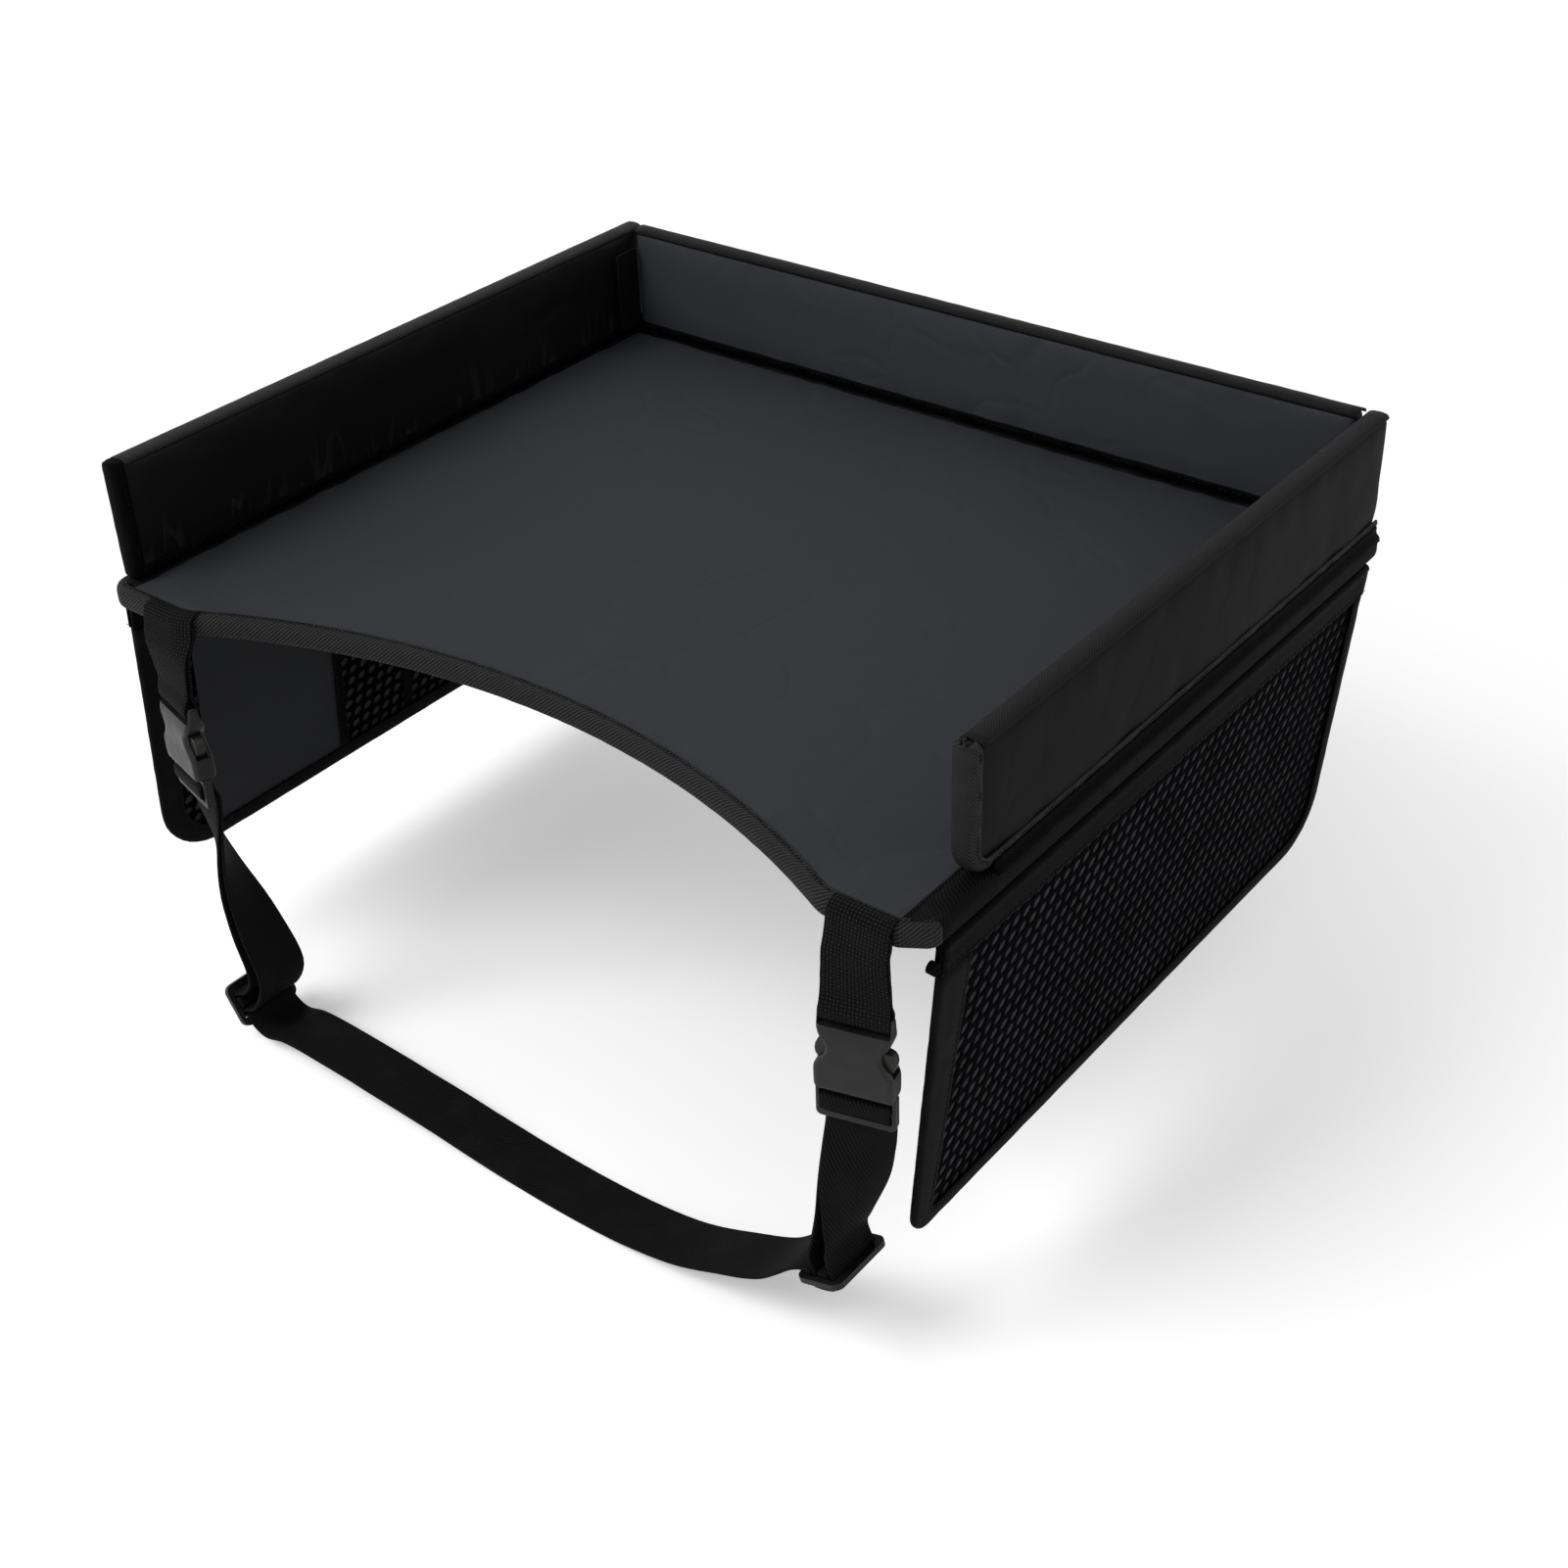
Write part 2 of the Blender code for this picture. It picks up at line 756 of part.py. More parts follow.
def build_flap(name, side, front_radius):
    lean = math.radians(flap_lean_degrees)
    axis = make_axis(name + "_hinge", (side * flap_hinge_x, 0.0, flap_hinge_z), (0.0, lean, 0.0))
    make_body(name + "_hem", flap_hem(side), tape_look, axis)
    make_body(name + "_binding", flap_binding(side, front_radius), tape_look, axis)
    sheet_inset = flap_tape + clearance
    sheet_top = flap_bead_radius + flap_tape + 2 * clearance
    outline = flap_outline(sheet_inset, front_radius, sheet_top)
    net = flap_sheet(side, outline, flap_net_offset, flap_net_offset + flap_net_thickness)
    net_body = make_body(name + "_net", net, net_look, axis)
    cut_away(net_body, net_gaps(side, front_radius))
    return axis, outline


def tape_on_flap(side, centre_y, width, low_t, high_t):
    top = flap_hem_depth + clearance
    low = flap_drop - flap_leg - clearance
    left = centre_y - width / 2
    right = centre_y + width / 2
    return flap_sheet(side, [(left, top), (left, low), (right, low), (right, top)], low_t, high_t)


def build_left_flap():
    axis, outline = build_flap("left_flap", -1, flap_front_radius_left)
    lining_high = flap_net_offset - clearance
    lining_low = lining_high - flap_lining_thickness
    top = outline[0][1]
    start = flap_front + pocket_front
    end = start + pocket_width
    low = flap_drop - flap_leg * mid_share
    pocket = [(start, top), (start, low), (end, low), (end, top)]
    make_body("left_flap_pocket", flap_sheet(-1, pocket, lining_low, lining_high), cloth_look, axis)
    tape_high = lining_low - clearance
    tape = tape_on_flap(-1, end, pocket_tape_width, tape_high - flap_tape, tape_high)
    make_body("left_flap_pocket_tape", tape, tape_look, axis)
    divider_y = flap_front + divider_place
    divider = tape_on_flap(-1, divider_y, pocket_tape_width, lining_low, lining_high)
    make_body("left_flap_divider_tape", divider, tape_look, axis)
    return axis


def tape_tail(side):
    """The rolled end of the hem's tape, just in front of the flap."""
    middle = flap_front - clearance - tail_radius * tail_neck_share
    opening = tail_opening_degrees
    turn = arc(middle, tail_rise, tail_radius, opening, 360 - opening, 2 * corner_steps)
    tongue = flap_front - clearance
    outline = turn + [(tongue, turn[-1][1]), (tongue, turn[0][1])]
    return flap_sheet(side, outline, -flap_half_thickness, flap_half_thickness)


def build_right_flap():
    axis, outline = build_flap("right_flap", 1, flap_front_radius_right)
    lining_high = flap_net_offset - clearance
    lining = flap_sheet(1, outline, lining_high - flap_lining_thickness, lining_high)
    make_body("right_flap_lining", lining, cloth_look, axis)
    make_body("right_flap_tape_tail", tape_tail(1), tape_look, axis)
    return axis


# Belt. On a buckle, w is the place across it, n the distance to the front of its middle
# and v the depth below the socket's upper end.


def buckle_point(w, n, v):
    return (w, -n, -v)


def buckle_rings(levels, steps=2):
    """Rounded cross sections down a buckle, from rows of v, half width, front, back and radius."""
    rings = []
    for v, half, front, back, radius in levels:
        outline = round_box(-half, half, -back, front, [radius] * 4, steps)
        rings.append([buckle_point(w, n, v) for w, n in outline])
    return rings


def buckle_prism(outline, low, high):
    """An outline of w and v pairs, given thickness along n."""
    return loft([[buckle_point(w, n, v) for w, v in outline] for n in (low, high)])


# Socket: depth as a share of its length, half width from the waist's (0) to the full one
# (1), and thickness as a share.
socket_shares = [
    (0.0, 0.93, 0.62),
    (0.04, 1.0, 0.74),
    (0.24, 1.0, 0.82),
    (0.31, 0.72, 0.92),
    (0.38, 0.20, 0.98),
    (0.43, 0.0, 1.0),
    (0.55, 0.18, 1.0),
    (0.68, 0.82, 1.0),
    (0.75, 1.0, 1.0),
    (0.97, 1.0, 0.99),
    (1.0, 0.94, 0.92),
]
socket_round_share = 0.34


def socket_body(axis, name):
    levels = []
    narrow = socket_waist / 2
    wide = buckle_width / 2
    for depth_share, width_share, thickness_share in socket_shares:
        half = narrow + (wide - narrow) * width_share
        thick = buckle_thickness / 2 * thickness_share
        radius = buckle_thickness / 2 * socket_round_share
        levels.append((depth_share * socket_length, half, thick, thick, radius))
    body = make_body(name, loft(buckle_rings(levels)), plastic_look, axis)
    slot_half = belt_width / 2 + clearance
    out = buckle_thickness
    bar_end = socket_bar_length
    bar = socket_bar_half
    over = -cut_overrun
    around_bar = [(over, bar), (over, out), (socket_slot_end, out), (socket_slot_end, -out)]
    around_bar += [(over, -out), (over, -bar), (bar_end, -bar), (bar_end, bar)]
    slot = loft([[buckle_point(w, n, v) for v, n in around_bar] for w in (-slot_half, slot_half)])
    hole = cavity_width / 2
    side = buckle_width
    mouth = socket_length + cut_overrun
    room = [(-hole, mouth), (-hole, window_end), (-side, window_end), (-side, window_start)]
    room += [(side, window_start), (side, window_end), (hole, window_end), (hole, mouth)]
    cut_away(body, slot, buckle_prism(room, -cavity_half, cavity_half))
    return body


def plug_body(axis, name):
    """The plug: a frame with two slots for the webbing, a root in the mouth and a tongue."""
    start = socket_length + clearance
    wide = buckle_width / 2
    hole = cavity_width / 2 - clearance
    end = start + plug_length
    corner = plug_corner
    outline = [(-wide, start), (-wide, end - corner), (corner - wide, end), (wide - corner, end)]
    outline += [(wide, end - corner), (wide, start), (hole, start), (hole, start - plug_root)]
    outline += [(tongue_half, start - plug_root), (tongue_half, start - tongue_length)]
    outline += [(-tongue_half, start - tongue_length), (-tongue_half, start - plug_root)]
    outline += [(-hole, start - plug_root), (-hole, start)]
    body = make_body(name, buckle_prism(outline, -plug_back, plug_front), plastic_look, axis)
    slot_half = belt_width / 2 + clearance
    slots = []
    for low, high in ((near_slot_low, near_slot_high), (far_slot_low, far_slot_high)):
        corners = [(-slot_half, low), (slot_half, low), (slot_half, high), (-slot_half, high)]
        slots.append(buckle_prism(corners, -plug_back - cut_overrun, plug_front + cut_overrun))
    cut_away(body, *slots)
    return body


# A springy arm's outline: across as a share of the way from its inner side to the
# buckle's side, and along as a share of the way from the window's upper end to its root.
arm_shares = [
    (0.06, 1.0),
    (0.48, 1.0),
    (0.48, 0.70),
    (0.80, 0.64),
    (0.90, 0.34),
    (0.72, 0.10),
    (0.28, 0.04),
    (0.06, 0.18),
]


def arm_body(axis, name, side):
    top = window_start + clearance
    root = socket_length - plug_root
    outline = []
    for across, along in arm_shares:
        w = arm_inner + (buckle_width / 2 - arm_inner) * across
        outline.append((side * w, top + (root - top) * along))
    shape = buckle_prism(outline, -plug_back, arm_thickness - plug_back)
    return make_body(name, shape, plastic_look, axis)


def smooth_path(controls, steps):
    """A smooth curve through stations, each a place and a direction across the webbing."""
    rows = [[*place, *across] for place, across in controls]
    stations = []
    for index in range(len(rows) - 1):
        before = rows[max(index - 1, 0)]
        first = rows[index]
        second = rows[index + 1]
        after = rows[min(index + 2, len(rows) - 1)]
        for step in range(steps):
            stations.append(curve_point((before, first, second, after), step / steps))
    stations.append(curve_point((before, first, second, after), 1.0))
    return [(Vector(row[:3]), Vector(row[3:]).normalized()) for row in stations]


def curve_point(rows, t):
    """A point on the curve between the second and the third row, with rounded knots."""
    before, first, second, after = rows
    spans = []
    for start, end in ((before, first), (first, second), (second, after)):
        length = math.dist(start[:3], end[:3])
        spans.append(max(math.sqrt(length), least_span))
    result = []
    for a, b, c, d in zip(before, first, second, after):
        into = (b - a) / spans[0] - (c - a) / (spans[0] + spans[1]) + (c - b) / spans[1]
        out = (c - b) / spans[1] - (d - b) / (spans[1] + spans[2]) + (d - c) / spans[2]
        into *= spans[1]
        out *= spans[1]
        cubic = 2 * b - 2 * c + into + out
        square = 3 * c - 3 * b - 2 * into - out
        result.append(((cubic * t + square) * t + into) * t + b)
    return result


def webbing(stations, width, thickness):
    """A flat strip swept through its stations."""
    rings = []
    for index, (place, across) in enumerate(stations):
        ahead = stations[min(index + 1, len(stations) - 1)][0]
        behind = stations[max(index - 1, 0)][0]
        tangent = (ahead - behind).normalized()
        normal = tangent.cross(across).normalized()
        side = normal.cross(tangent).normalized()
        if side.dot(across) < 0:
            side = -side
        half = side * (width / 2)
        rise = normal * (thickness / 2)
        ring = (place + half + rise, place - half + rise, place - half - rise, place + half - rise)
        rings.append([tuple(point) for point in ring])
    return loft(rings)


# Places down a tab, as shares of its length.
tab_drop_shares = [0.0, 0.3, 0.6, 0.82]


def build_tab(name, side, x, axis):
    """A tab of doubled webbing that turns outwards on its way down and loops the socket's bar."""
    layer = layer_pitch / 2 + clearance / 2
    bar = socket_bar_half + web_offset
    under = socket_bar_length + web_offset
    down = []
    for share in tab_drop_shares:
        down.append((layer, share * tab_drop))
    down.append((bar, tab_drop))
    down.append((bar, tab_drop + socket_bar_length))
    down.append((bar * bend_share, tab_drop + socket_bar_length + web_offset * tab_bend_share))
    down.append((bar * tab_foot_share, tab_drop + under))
    route = down + [(-n, drop) for n, drop in reversed(down)]
    controls = []
    for n, drop in route:
        yaw = side * math.radians(belt_yaw_degrees) * min(drop / tab_drop, 1.0)
        across = Vector((math.cos(yaw), math.sin(yaw), 0.0))
        place = Vector((x + n * math.sin(yaw), -n * math.cos(yaw), -drop))
        controls.append((place, across))
    make_body(name, webbing(smooth_path(controls, 2), belt_width, belt_web), web_look, axis)


# The pair of layers between a plug and its slider: how far down, how far across towards
# the slider, how open the pair is and how far it has turned.
right_rise_shares = [
    (0.10, -0.01, 0.0, 0.06),
    (0.38, 0.10, 0.12, 0.36),
    (0.66, 0.42, 0.42, 0.72),
    (0.88, 0.80, 0.80, 0.95),
]
left_rise_shares = [
    (0.10, 0.02, 0.0, 0.06),
    (0.36, 0.30, 0.14, 0.42),
    (0.62, 0.86, 0.42, 0.80),
    (0.86, 1.28, 0.80, 0.98),
]

# The waist strap's lowest stretch: across as shares of the way between the two sliders,
# and drop as a share of the deepest one.
waist_shares = [
    (0.954, 0.797),
    (0.933, 0.832),
    (0.905, 0.873),
    (0.844, 0.922),
    (0.767, 0.971),
    (0.672, 0.997),
    (0.522, 1.0),
    (0.331, 0.977),
    (0.147, 0.961),
    (0.083, 0.962),
    (0.045, 0.978),
]


def slider_frame(side, x, drop, tilt):
    """A slider's middle, the direction away from the waist and the direction up through it."""
    angle = math.radians(tilt)
    middle = Vector((side * x, 0.0, -drop))
    away = Vector((side * math.cos(angle), 0.0, math.sin(angle)))
    up = Vector((-side * math.sin(angle), 0.0, math.cos(angle)))
    return middle, away, up


def strap_half(side, tab_x, slider, rise_shares):
    """Controls of the webbing from its sewn end, up to the plug and back down to the waist."""
    middle, away, up = slider
    level = Vector((0.0, 1.0, 0.0))
    over = slider_thickness / 2 + web_offset
    beside = slider_bar_half + web_offset + clearance
    outer = beside + belt_web + layer_room
    below = over + layer_pitch
    rise = buckle_thickness

    def at_slider(u, v):
        return (middle + away * u + up * v, level)

    sewn = [(-beside * tail_share, over), (beside * mid_share, over)]
    sewn += [(beside * bend_share, over * bend_share), (beside, 0.0)]
    sewn += [(beside * bend_share, -over * bend_share), (beside * mid_share, -over)]
    sewn += [(-beside * mid_share, -over), (-beside * bend_share, -over * bend_share)]
    sewn += [(-beside, 0.0), (-beside, over)]
    controls = [at_slider(u, v) for u, v in sewn]

    yaw = side * math.radians(belt_yaw_degrees)
    across = Vector((math.cos(yaw), math.sin(yaw), 0.0))
    forward = Vector((math.sin(yaw), -math.cos(yaw), 0.0))
    top = Vector((side * tab_x, 0.0, -tab_drop))

    def at_plug(v, n):
        return (top + forward * n - Vector((0.0, 0.0, v)), across)

    back = -(plug_back + web_offset)
    front = plug_front + web_offset
    rear = back - layer_pitch
    near_middle = (near_slot_low + near_slot_high) / 2 + clearance
    far_middle = (far_slot_low + far_slot_high) / 2
    end = socket_length + clearance + plug_length
    foot = end + web_offset
    loop = [(end, rear), (far_slot_high, rear), (far_middle, rear + clearance)]
    loop += [(far_slot_low - plug_bar * mid_share, back - clearance), (near_slot_high, back)]
    loop += [(near_middle + clearance, back * bend_share), (near_middle, 0.0)]
    loop += [(near_middle + clearance, front * bend_share), (near_slot_high, front)]
    loop += [(far_slot_low, front), (far_middle - clearance, front * bend_share)]
    loop += [(far_middle, 0.0), (far_middle + clearance, back * plug_bend_share)]
    loop += [(far_slot_high, back - slim_gap * mid_share), (end, back)]

    def at_rise(shares, layer):
        drop_share, across_share, open_share, turn_share = shares
        start = top - Vector((0.0, 0.0, foot))
        finish = middle + away * ((outer - beside) / 2) + up * rise
        place = start.lerp(finish, across_share)
        place.z = start.z + (finish.z - start.z) * drop_share
        turn = side * math.radians(belt_yaw_degrees + (90 - belt_yaw_degrees) * turn_share)
        spread = layer_pitch + (outer + beside - layer_pitch) * open_share
        shift = (back + rear) / 2 * (1 - turn_share)
        normal = Vector((abs(math.sin(turn)) * side, -math.cos(turn), 0.0))
        wide = Vector((math.cos(turn), math.sin(turn), 0.0))
        return (place + normal * (layer * spread / 2 + shift), wide)

    inner = [at_rise(shares, -1) for shares in reversed(rise_shares)]
    plug = [at_plug(v, n) for v, n in loop]
    outside = [at_rise(shares, 1) for shares in rise_shares]
    controls += [at_slider(-beside, rise)] + inner + plug + outside

    pass_under = [(outer, rise), (outer, over), (outer, 0.0)]
    pass_under += [(outer * bend_share, -below * bend_share)]
    pass_under += [(outer * mid_share, -below), (-outer * mid_share, -below)]
    pass_under += [(-outer * bend_share, -below * bend_share), (-outer, 0.0)]
    pass_under += [(-outer, slider_thickness / 2), (-outer - clearance, over)]
    pass_under += [(-outer - web_offset, over + clearance), (-slider_width / 2, over + clearance)]
    controls += [at_slider(u, v) for u, v in pass_under]
    return controls


def strap_controls():
    right_slider = slider_frame(1, right_slider_x, right_slider_drop, right_slider_tilt)
    left_slider = slider_frame(-1, left_slider_x, left_slider_drop, left_slider_tilt)
    right = strap_half(1, right_tab_x, right_slider, right_rise_shares)
    left = strap_half(-1, left_tab_x, left_slider, left_rise_shares)
    waist = []
    span = right_slider_x + left_slider_x
    for across_share, drop_share in waist_shares:
        x = -left_slider_x + span * across_share
        waist.append((Vector((x, 0.0, -waist_drop * drop_share)), Vector((0.0, 1.0, 0.0))))
    flipped = []
    for place, across in reversed(left):
        flipped.append((place, -across if across.y < 0 else across))
    return right + waist + flipped


def slider_body(axis, name):
    """A slider with three bars across and two slots for the webbing."""
    half_long = slider_length / 2
    half_wide = slider_width / 2
    half_thick = slider_thickness / 2
    ease = slider_ease
    levels = [(ease, -half_thick), (0.0, ease - half_thick), (0.0, half_thick - ease), (ease, half_thick)]
    rings = []
    for inset, v in levels:
        radii = [slider_thickness - inset] * 4
        wide = half_wide - inset
        long = half_long - inset
        outline = round_box(-wide, wide, -long, long, radii, 2)
        rings.append([(u, y, v) for u, y in outline])
    body = make_body(name, loft(rings), plastic_look, axis)
    slot_half = belt_width / 2 + clearance
    slots = []
    for side in (-1, 1):
        low = side * (slider_bar_half + clearance)
        high = side * (slider_bar_half + clearance + slider_slot)
        corners = [(low, -slot_half), (high, -slot_half), (high, slot_half), (low, slot_half)]
        thick = half_thick + cut_overrun
        slots.append(loft([[(u, y, v) for u, y in corners] for v in (-thick, thick)]))
    cut_away(body, *slots)
    return body


def build_belt():
    swing = make_axis("belt_swing_axis", (0.0, belt_y, belt_z))
    release = make_axis("buckle_release_axis", (0.0, 0.0, -tab_drop - socket_length), parent=swing)
    for name, side, x in (("left", -1, left_tab_x), ("right", 1, right_tab_x)):
        yaw = side * math.radians(belt_yaw_degrees)
        build_tab(name + "_tab", side, side * x, swing)
        place = (side * x, 0.0, -tab_drop)
        socket_axis = make_axis(name + "_socket_place", place, (0.0, 0.0, yaw), swing)
        socket_body(socket_axis, name + "_buckle_socket")
        plug_place = (side * x, 0.0, socket_length)
        plug_axis = make_axis(name + "_plug_place", plug_place, (0.0, 0.0, yaw), release)
        plug_body(plug_axis, name + "_buckle_plug")
        arm_body(plug_axis, name + "_buckle_outer_arm", side)
        arm_body(plug_axis, name + "_buckle_inner_arm", -side)
    below_release = tab_drop + socket_length
    for name, side, x, drop, tilt in (
        ("left_slider", -1, left_slider_x, left_slider_drop, left_slider_tilt),
        ("right_slider", 1, right_slider_x, right_slider_drop, right_slider_tilt),
    ):
        place = (side * x, 0.0, below_release - drop)
        slider_axis = make_axis(name + "_place", place, (0.0, -side * math.radians(tilt), 0.0), release)
        slider_body(slider_axis, name)
    shape = webbing(smooth_path(strap_controls(), 2), belt_width, belt_web)
    strap = make_body("waist_strap", shape, web_look, release)
    strap.location = (0.0, 0.0, below_release)


clear_scene()
build_table()
build_edge_bindings()
build_anchors()
build_closures(*build_walls())
build_left_flap()
build_right_flap()
build_belt()
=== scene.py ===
import math

import bmesh
import bpy
from mathutils import Matrix, Vector, noise


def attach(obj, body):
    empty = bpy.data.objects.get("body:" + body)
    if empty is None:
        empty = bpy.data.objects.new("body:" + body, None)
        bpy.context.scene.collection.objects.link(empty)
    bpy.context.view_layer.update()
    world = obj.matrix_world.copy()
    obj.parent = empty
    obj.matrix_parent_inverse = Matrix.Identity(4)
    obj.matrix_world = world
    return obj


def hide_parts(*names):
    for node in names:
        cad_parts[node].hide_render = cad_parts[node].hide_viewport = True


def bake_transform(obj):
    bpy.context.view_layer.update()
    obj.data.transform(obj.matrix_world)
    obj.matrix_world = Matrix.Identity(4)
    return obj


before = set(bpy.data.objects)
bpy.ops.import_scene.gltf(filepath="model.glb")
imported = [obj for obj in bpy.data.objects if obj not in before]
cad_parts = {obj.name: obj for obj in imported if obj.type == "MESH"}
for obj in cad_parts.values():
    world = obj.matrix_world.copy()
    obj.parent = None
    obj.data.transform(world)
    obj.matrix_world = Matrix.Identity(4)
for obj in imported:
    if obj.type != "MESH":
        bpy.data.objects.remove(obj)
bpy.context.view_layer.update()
print("frame loaded:", len(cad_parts), "nodes")


def addObject(name, data):
    made = bpy.data.objects.new(name, data)
    bpy.context.scene.collection.objects.link(made)
    return made


# Camera, standing where the photograph's stood: place in metres, turns in degrees, lens and sensor in mm.
cameraView = {
    "place": (0.511, -0.6198, 0.441),
    "azimuth": 38.83,
    "elevation": 34.11,
    "roll": -2.14,
    "lens": 51.55,
    "sensor": 36.0,
    "near": 0.05,
    "far": 20.0,
}


def placeCamera(view):
    azimuth, elevation, roll = (math.radians(view[turn]) for turn in ("azimuth", "elevation", "roll"))
    level = math.cos(elevation)
    back = Vector((math.sin(azimuth) * level, -math.cos(azimuth) * level, math.sin(elevation)))
    flatRight = Vector((0.0, 0.0, 1.0)).cross(back).normalized()
    flatUp = back.cross(flatRight)
    right = flatRight * math.cos(roll) + flatUp * math.sin(roll)
    up = flatUp * math.cos(roll) - flatRight * math.sin(roll)
    camera = addObject("camera", bpy.data.cameras.new("camera"))
    camera.data.lens = view["lens"]
    camera.data.sensor_width = view["sensor"]
    camera.data.clip_start = view["near"]
    camera.data.clip_end = view["far"]
    camera.matrix_world = Matrix.Translation(view["place"]) @ Matrix((right, up, back)).transposed().to_4x4()
    bpy.context.scene.camera = camera


placeCamera(cameraView)
bpy.context.scene.view_settings.view_transform = "Standard"


# Node helpers: each returns what the next one plugs in.
def plugIn(tree, node, inputs):
    for name, value in inputs.items():
        socket = node.inputs[name]
        if isinstance(value, bpy.types.NodeSocket):
            tree.links.new(value, socket)
        else:
            socket.default_value = (*value, 1.0) if socket.type == "RGBA" else value
    return node


def addNode(tree, kind, settings=None, inputs=None):
    made = tree.nodes.new(kind)
    for name, value in (settings or {}).items():
        setattr(made, name, value)
    return plugIn(tree, made, inputs or {})


def calc(tree, operation, first, second=0.0, third=0.5, clamp=False):
    settings = {"operation": operation, "use_clamp": clamp}
    return addNode(tree, "ShaderNodeMath", settings, {0: first, 1: second, 2: third}).outputs[0]


def vectorCalc(tree, operation, first, second=(0.0, 0.0, 0.0)):
    outputs = addNode(tree, "ShaderNodeVectorMath", {"operation": operation}, {0: first, 1: second}).outputs
    return outputs["Value" if operation == "LENGTH" else "Vector"]


def vectorOf(tree, x=0.0, y=0.0, z=0.0):
    return addNode(tree, "ShaderNodeCombineXYZ", inputs={0: x, 1: y, 2: z}).outputs[0]


def partsOf(tree, vector):
    return addNode(tree, "ShaderNodeSeparateXYZ", inputs={0: vector}).outputs


def blendValue(tree, share, first, second):
    return addNode(tree, "ShaderNodeMix", {"data_type": "FLOAT"}, {0: share, 2: first, 3: second}).outputs[0]


def blendColour(tree, share, first, second):
    return addNode(tree, "ShaderNodeMix", {"data_type": "RGBA"}, {0: share, 6: first, 7: second}).outputs[2]


def ramp(tree, value, low, high, toLow=0.0, toHigh=1.0):
    inputs = {"Value": value, "From Min": low, "From Max": high, "To Min": toLow, "To Max": toHigh}
    return addNode(tree, "ShaderNodeMapRange", {"interpolation_type": "SMOOTHSTEP"}, inputs).outputs[0]


def noiseOn(tree, where, scale, detail=2.0, distortion=0.0):
    inputs = {"Vector": where, "Scale": scale, "Detail": detail, "Distortion": distortion}
    return addNode(tree, "ShaderNodeTexNoise", inputs=inputs).outputs["Fac"]


def cellsOn(tree, where, scale, feature="F1"):
    inputs = {"Vector": where, "Scale": scale}
    return addNode(tree, "ShaderNodeTexVoronoi", {"feature": feature}, inputs).outputs["Distance"]


# Node groups, for materials and for geometry. Their inputs are named, and come with usual values.
socketKinds = {
    float: "NodeSocketFloat",
    int: "NodeSocketInt",
    tuple: "NodeSocketVector",
    bpy.types.Material: "NodeSocketMaterial",
}
origin = (0.0, 0.0, 0.0)


def startGroup(name, inputs, kind="ShaderNodeTree"):
    group = bpy.data.node_groups.new(name, kind)
    if kind == "GeometryNodeTree":
        group.interface.new_socket(name="Geometry", in_out="INPUT", socket_type="NodeSocketGeometry")
    for label, value in inputs.items():
        socket = group.interface.new_socket(name=label, in_out="INPUT", socket_type=socketKinds[type(value)])
        socket.default_value = value
    return group, group.nodes.new("NodeGroupInput").outputs


def endGroup(group, **results):
    for label in results:
        kind = "NodeSocketGeometry" if label == "Geometry" else "NodeSocketFloat"
        group.interface.new_socket(name=label, in_out="OUTPUT", socket_type=kind)
    plugIn(group, group.nodes.new("NodeGroupOutput"), results)
    return group


def useGroup(tree, group, inputs):
    return addNode(tree, "ShaderNodeGroup", {"node_tree": group}, inputs).outputs


def wander(tree, where, scale, detail, reach):
    return calc(tree, "MULTIPLY", calc(tree, "SUBTRACT", noiseOn(tree, where, scale, detail), 0.5), reach)


def waveOf(tree, place, pitch):
    turn = calc(tree, "MULTIPLY", calc(tree, "DIVIDE", place, pitch), math.tau)
    return calc(tree, "MULTIPLY_ADD", calc(tree, "SINE", turn), 0.5, 0.5)


# A weave's Shade is its thread height, and it sets the colour: painted shade in the hollows between threads and
# a painted highlight on their crowns.
def endWeave(group, where, height, fuzzScale):
    fuzz = ramp(group, noiseOn(group, where, fuzzScale), 0.25, 0.75, 0.7, 1.0)
    return endGroup(group, Height=height, Shade=calc(group, "MULTIPLY", height, fuzz))


# Twill: slanting ribs, each broken into threads. It follows a tape's or strap's own map, in metres.
def twillGroup():
    inputs = {"Vector": origin, "Rib pitch": 0.0012, "Slant": 1.0, "Thread pitch": 0.0006}
    group, given = startGroup("Twill ribs", inputs)
    where = given["Vector"]
    x, y, z = partsOf(group, where)
    slanted = calc(group, "ADD", calc(group, "MULTIPLY", x, given["Slant"]), y)
    across = calc(group, "ADD", slanted, wander(group, where, 400.0, 2.0, 0.0007))
    rib = calc(group, "MULTIPLY", waveOf(group, across, given["Rib pitch"]), 0.8)
    thread = calc(group, "MULTIPLY", waveOf(group, x, given["Thread pitch"]), 0.2)
    return endWeave(group, where, calc(group, "ADD", rib, thread), 2600.0)


# Basket weave: warp and weft threads that pass over each other by turns.
def basketGroup():
    inputs = {"Vector": origin, "Across pitch": 0.0013, "Along pitch": 0.0013}
    group, given = startGroup("Basket weave", inputs)
    where = given["Vector"]
    x, y, z = partsOf(group, where)
    shift = wander(group, where, 350.0, 1.0, 0.0005)
    waves = []
    for place, pitch in ((x, "Along pitch"), (y, "Across pitch")):
        turn = calc(group, "DIVIDE", calc(group, "ADD", place, shift), given[pitch])
        waves.append(calc(group, "SINE", calc(group, "MULTIPLY", turn, math.pi)))
    over = ramp(group, calc(group, "MULTIPLY", *waves), -0.12, 0.12)
    crowns = [calc(group, "POWER", calc(group, "ABSOLUTE", wave), 0.6) for wave in waves]
    height = calc(group, "MULTIPLY", calc(group, "MULTIPLY", *crowns), blendValue(group, over, 0.62, 1.0))
    return endWeave(group, where, height, 3000.0)
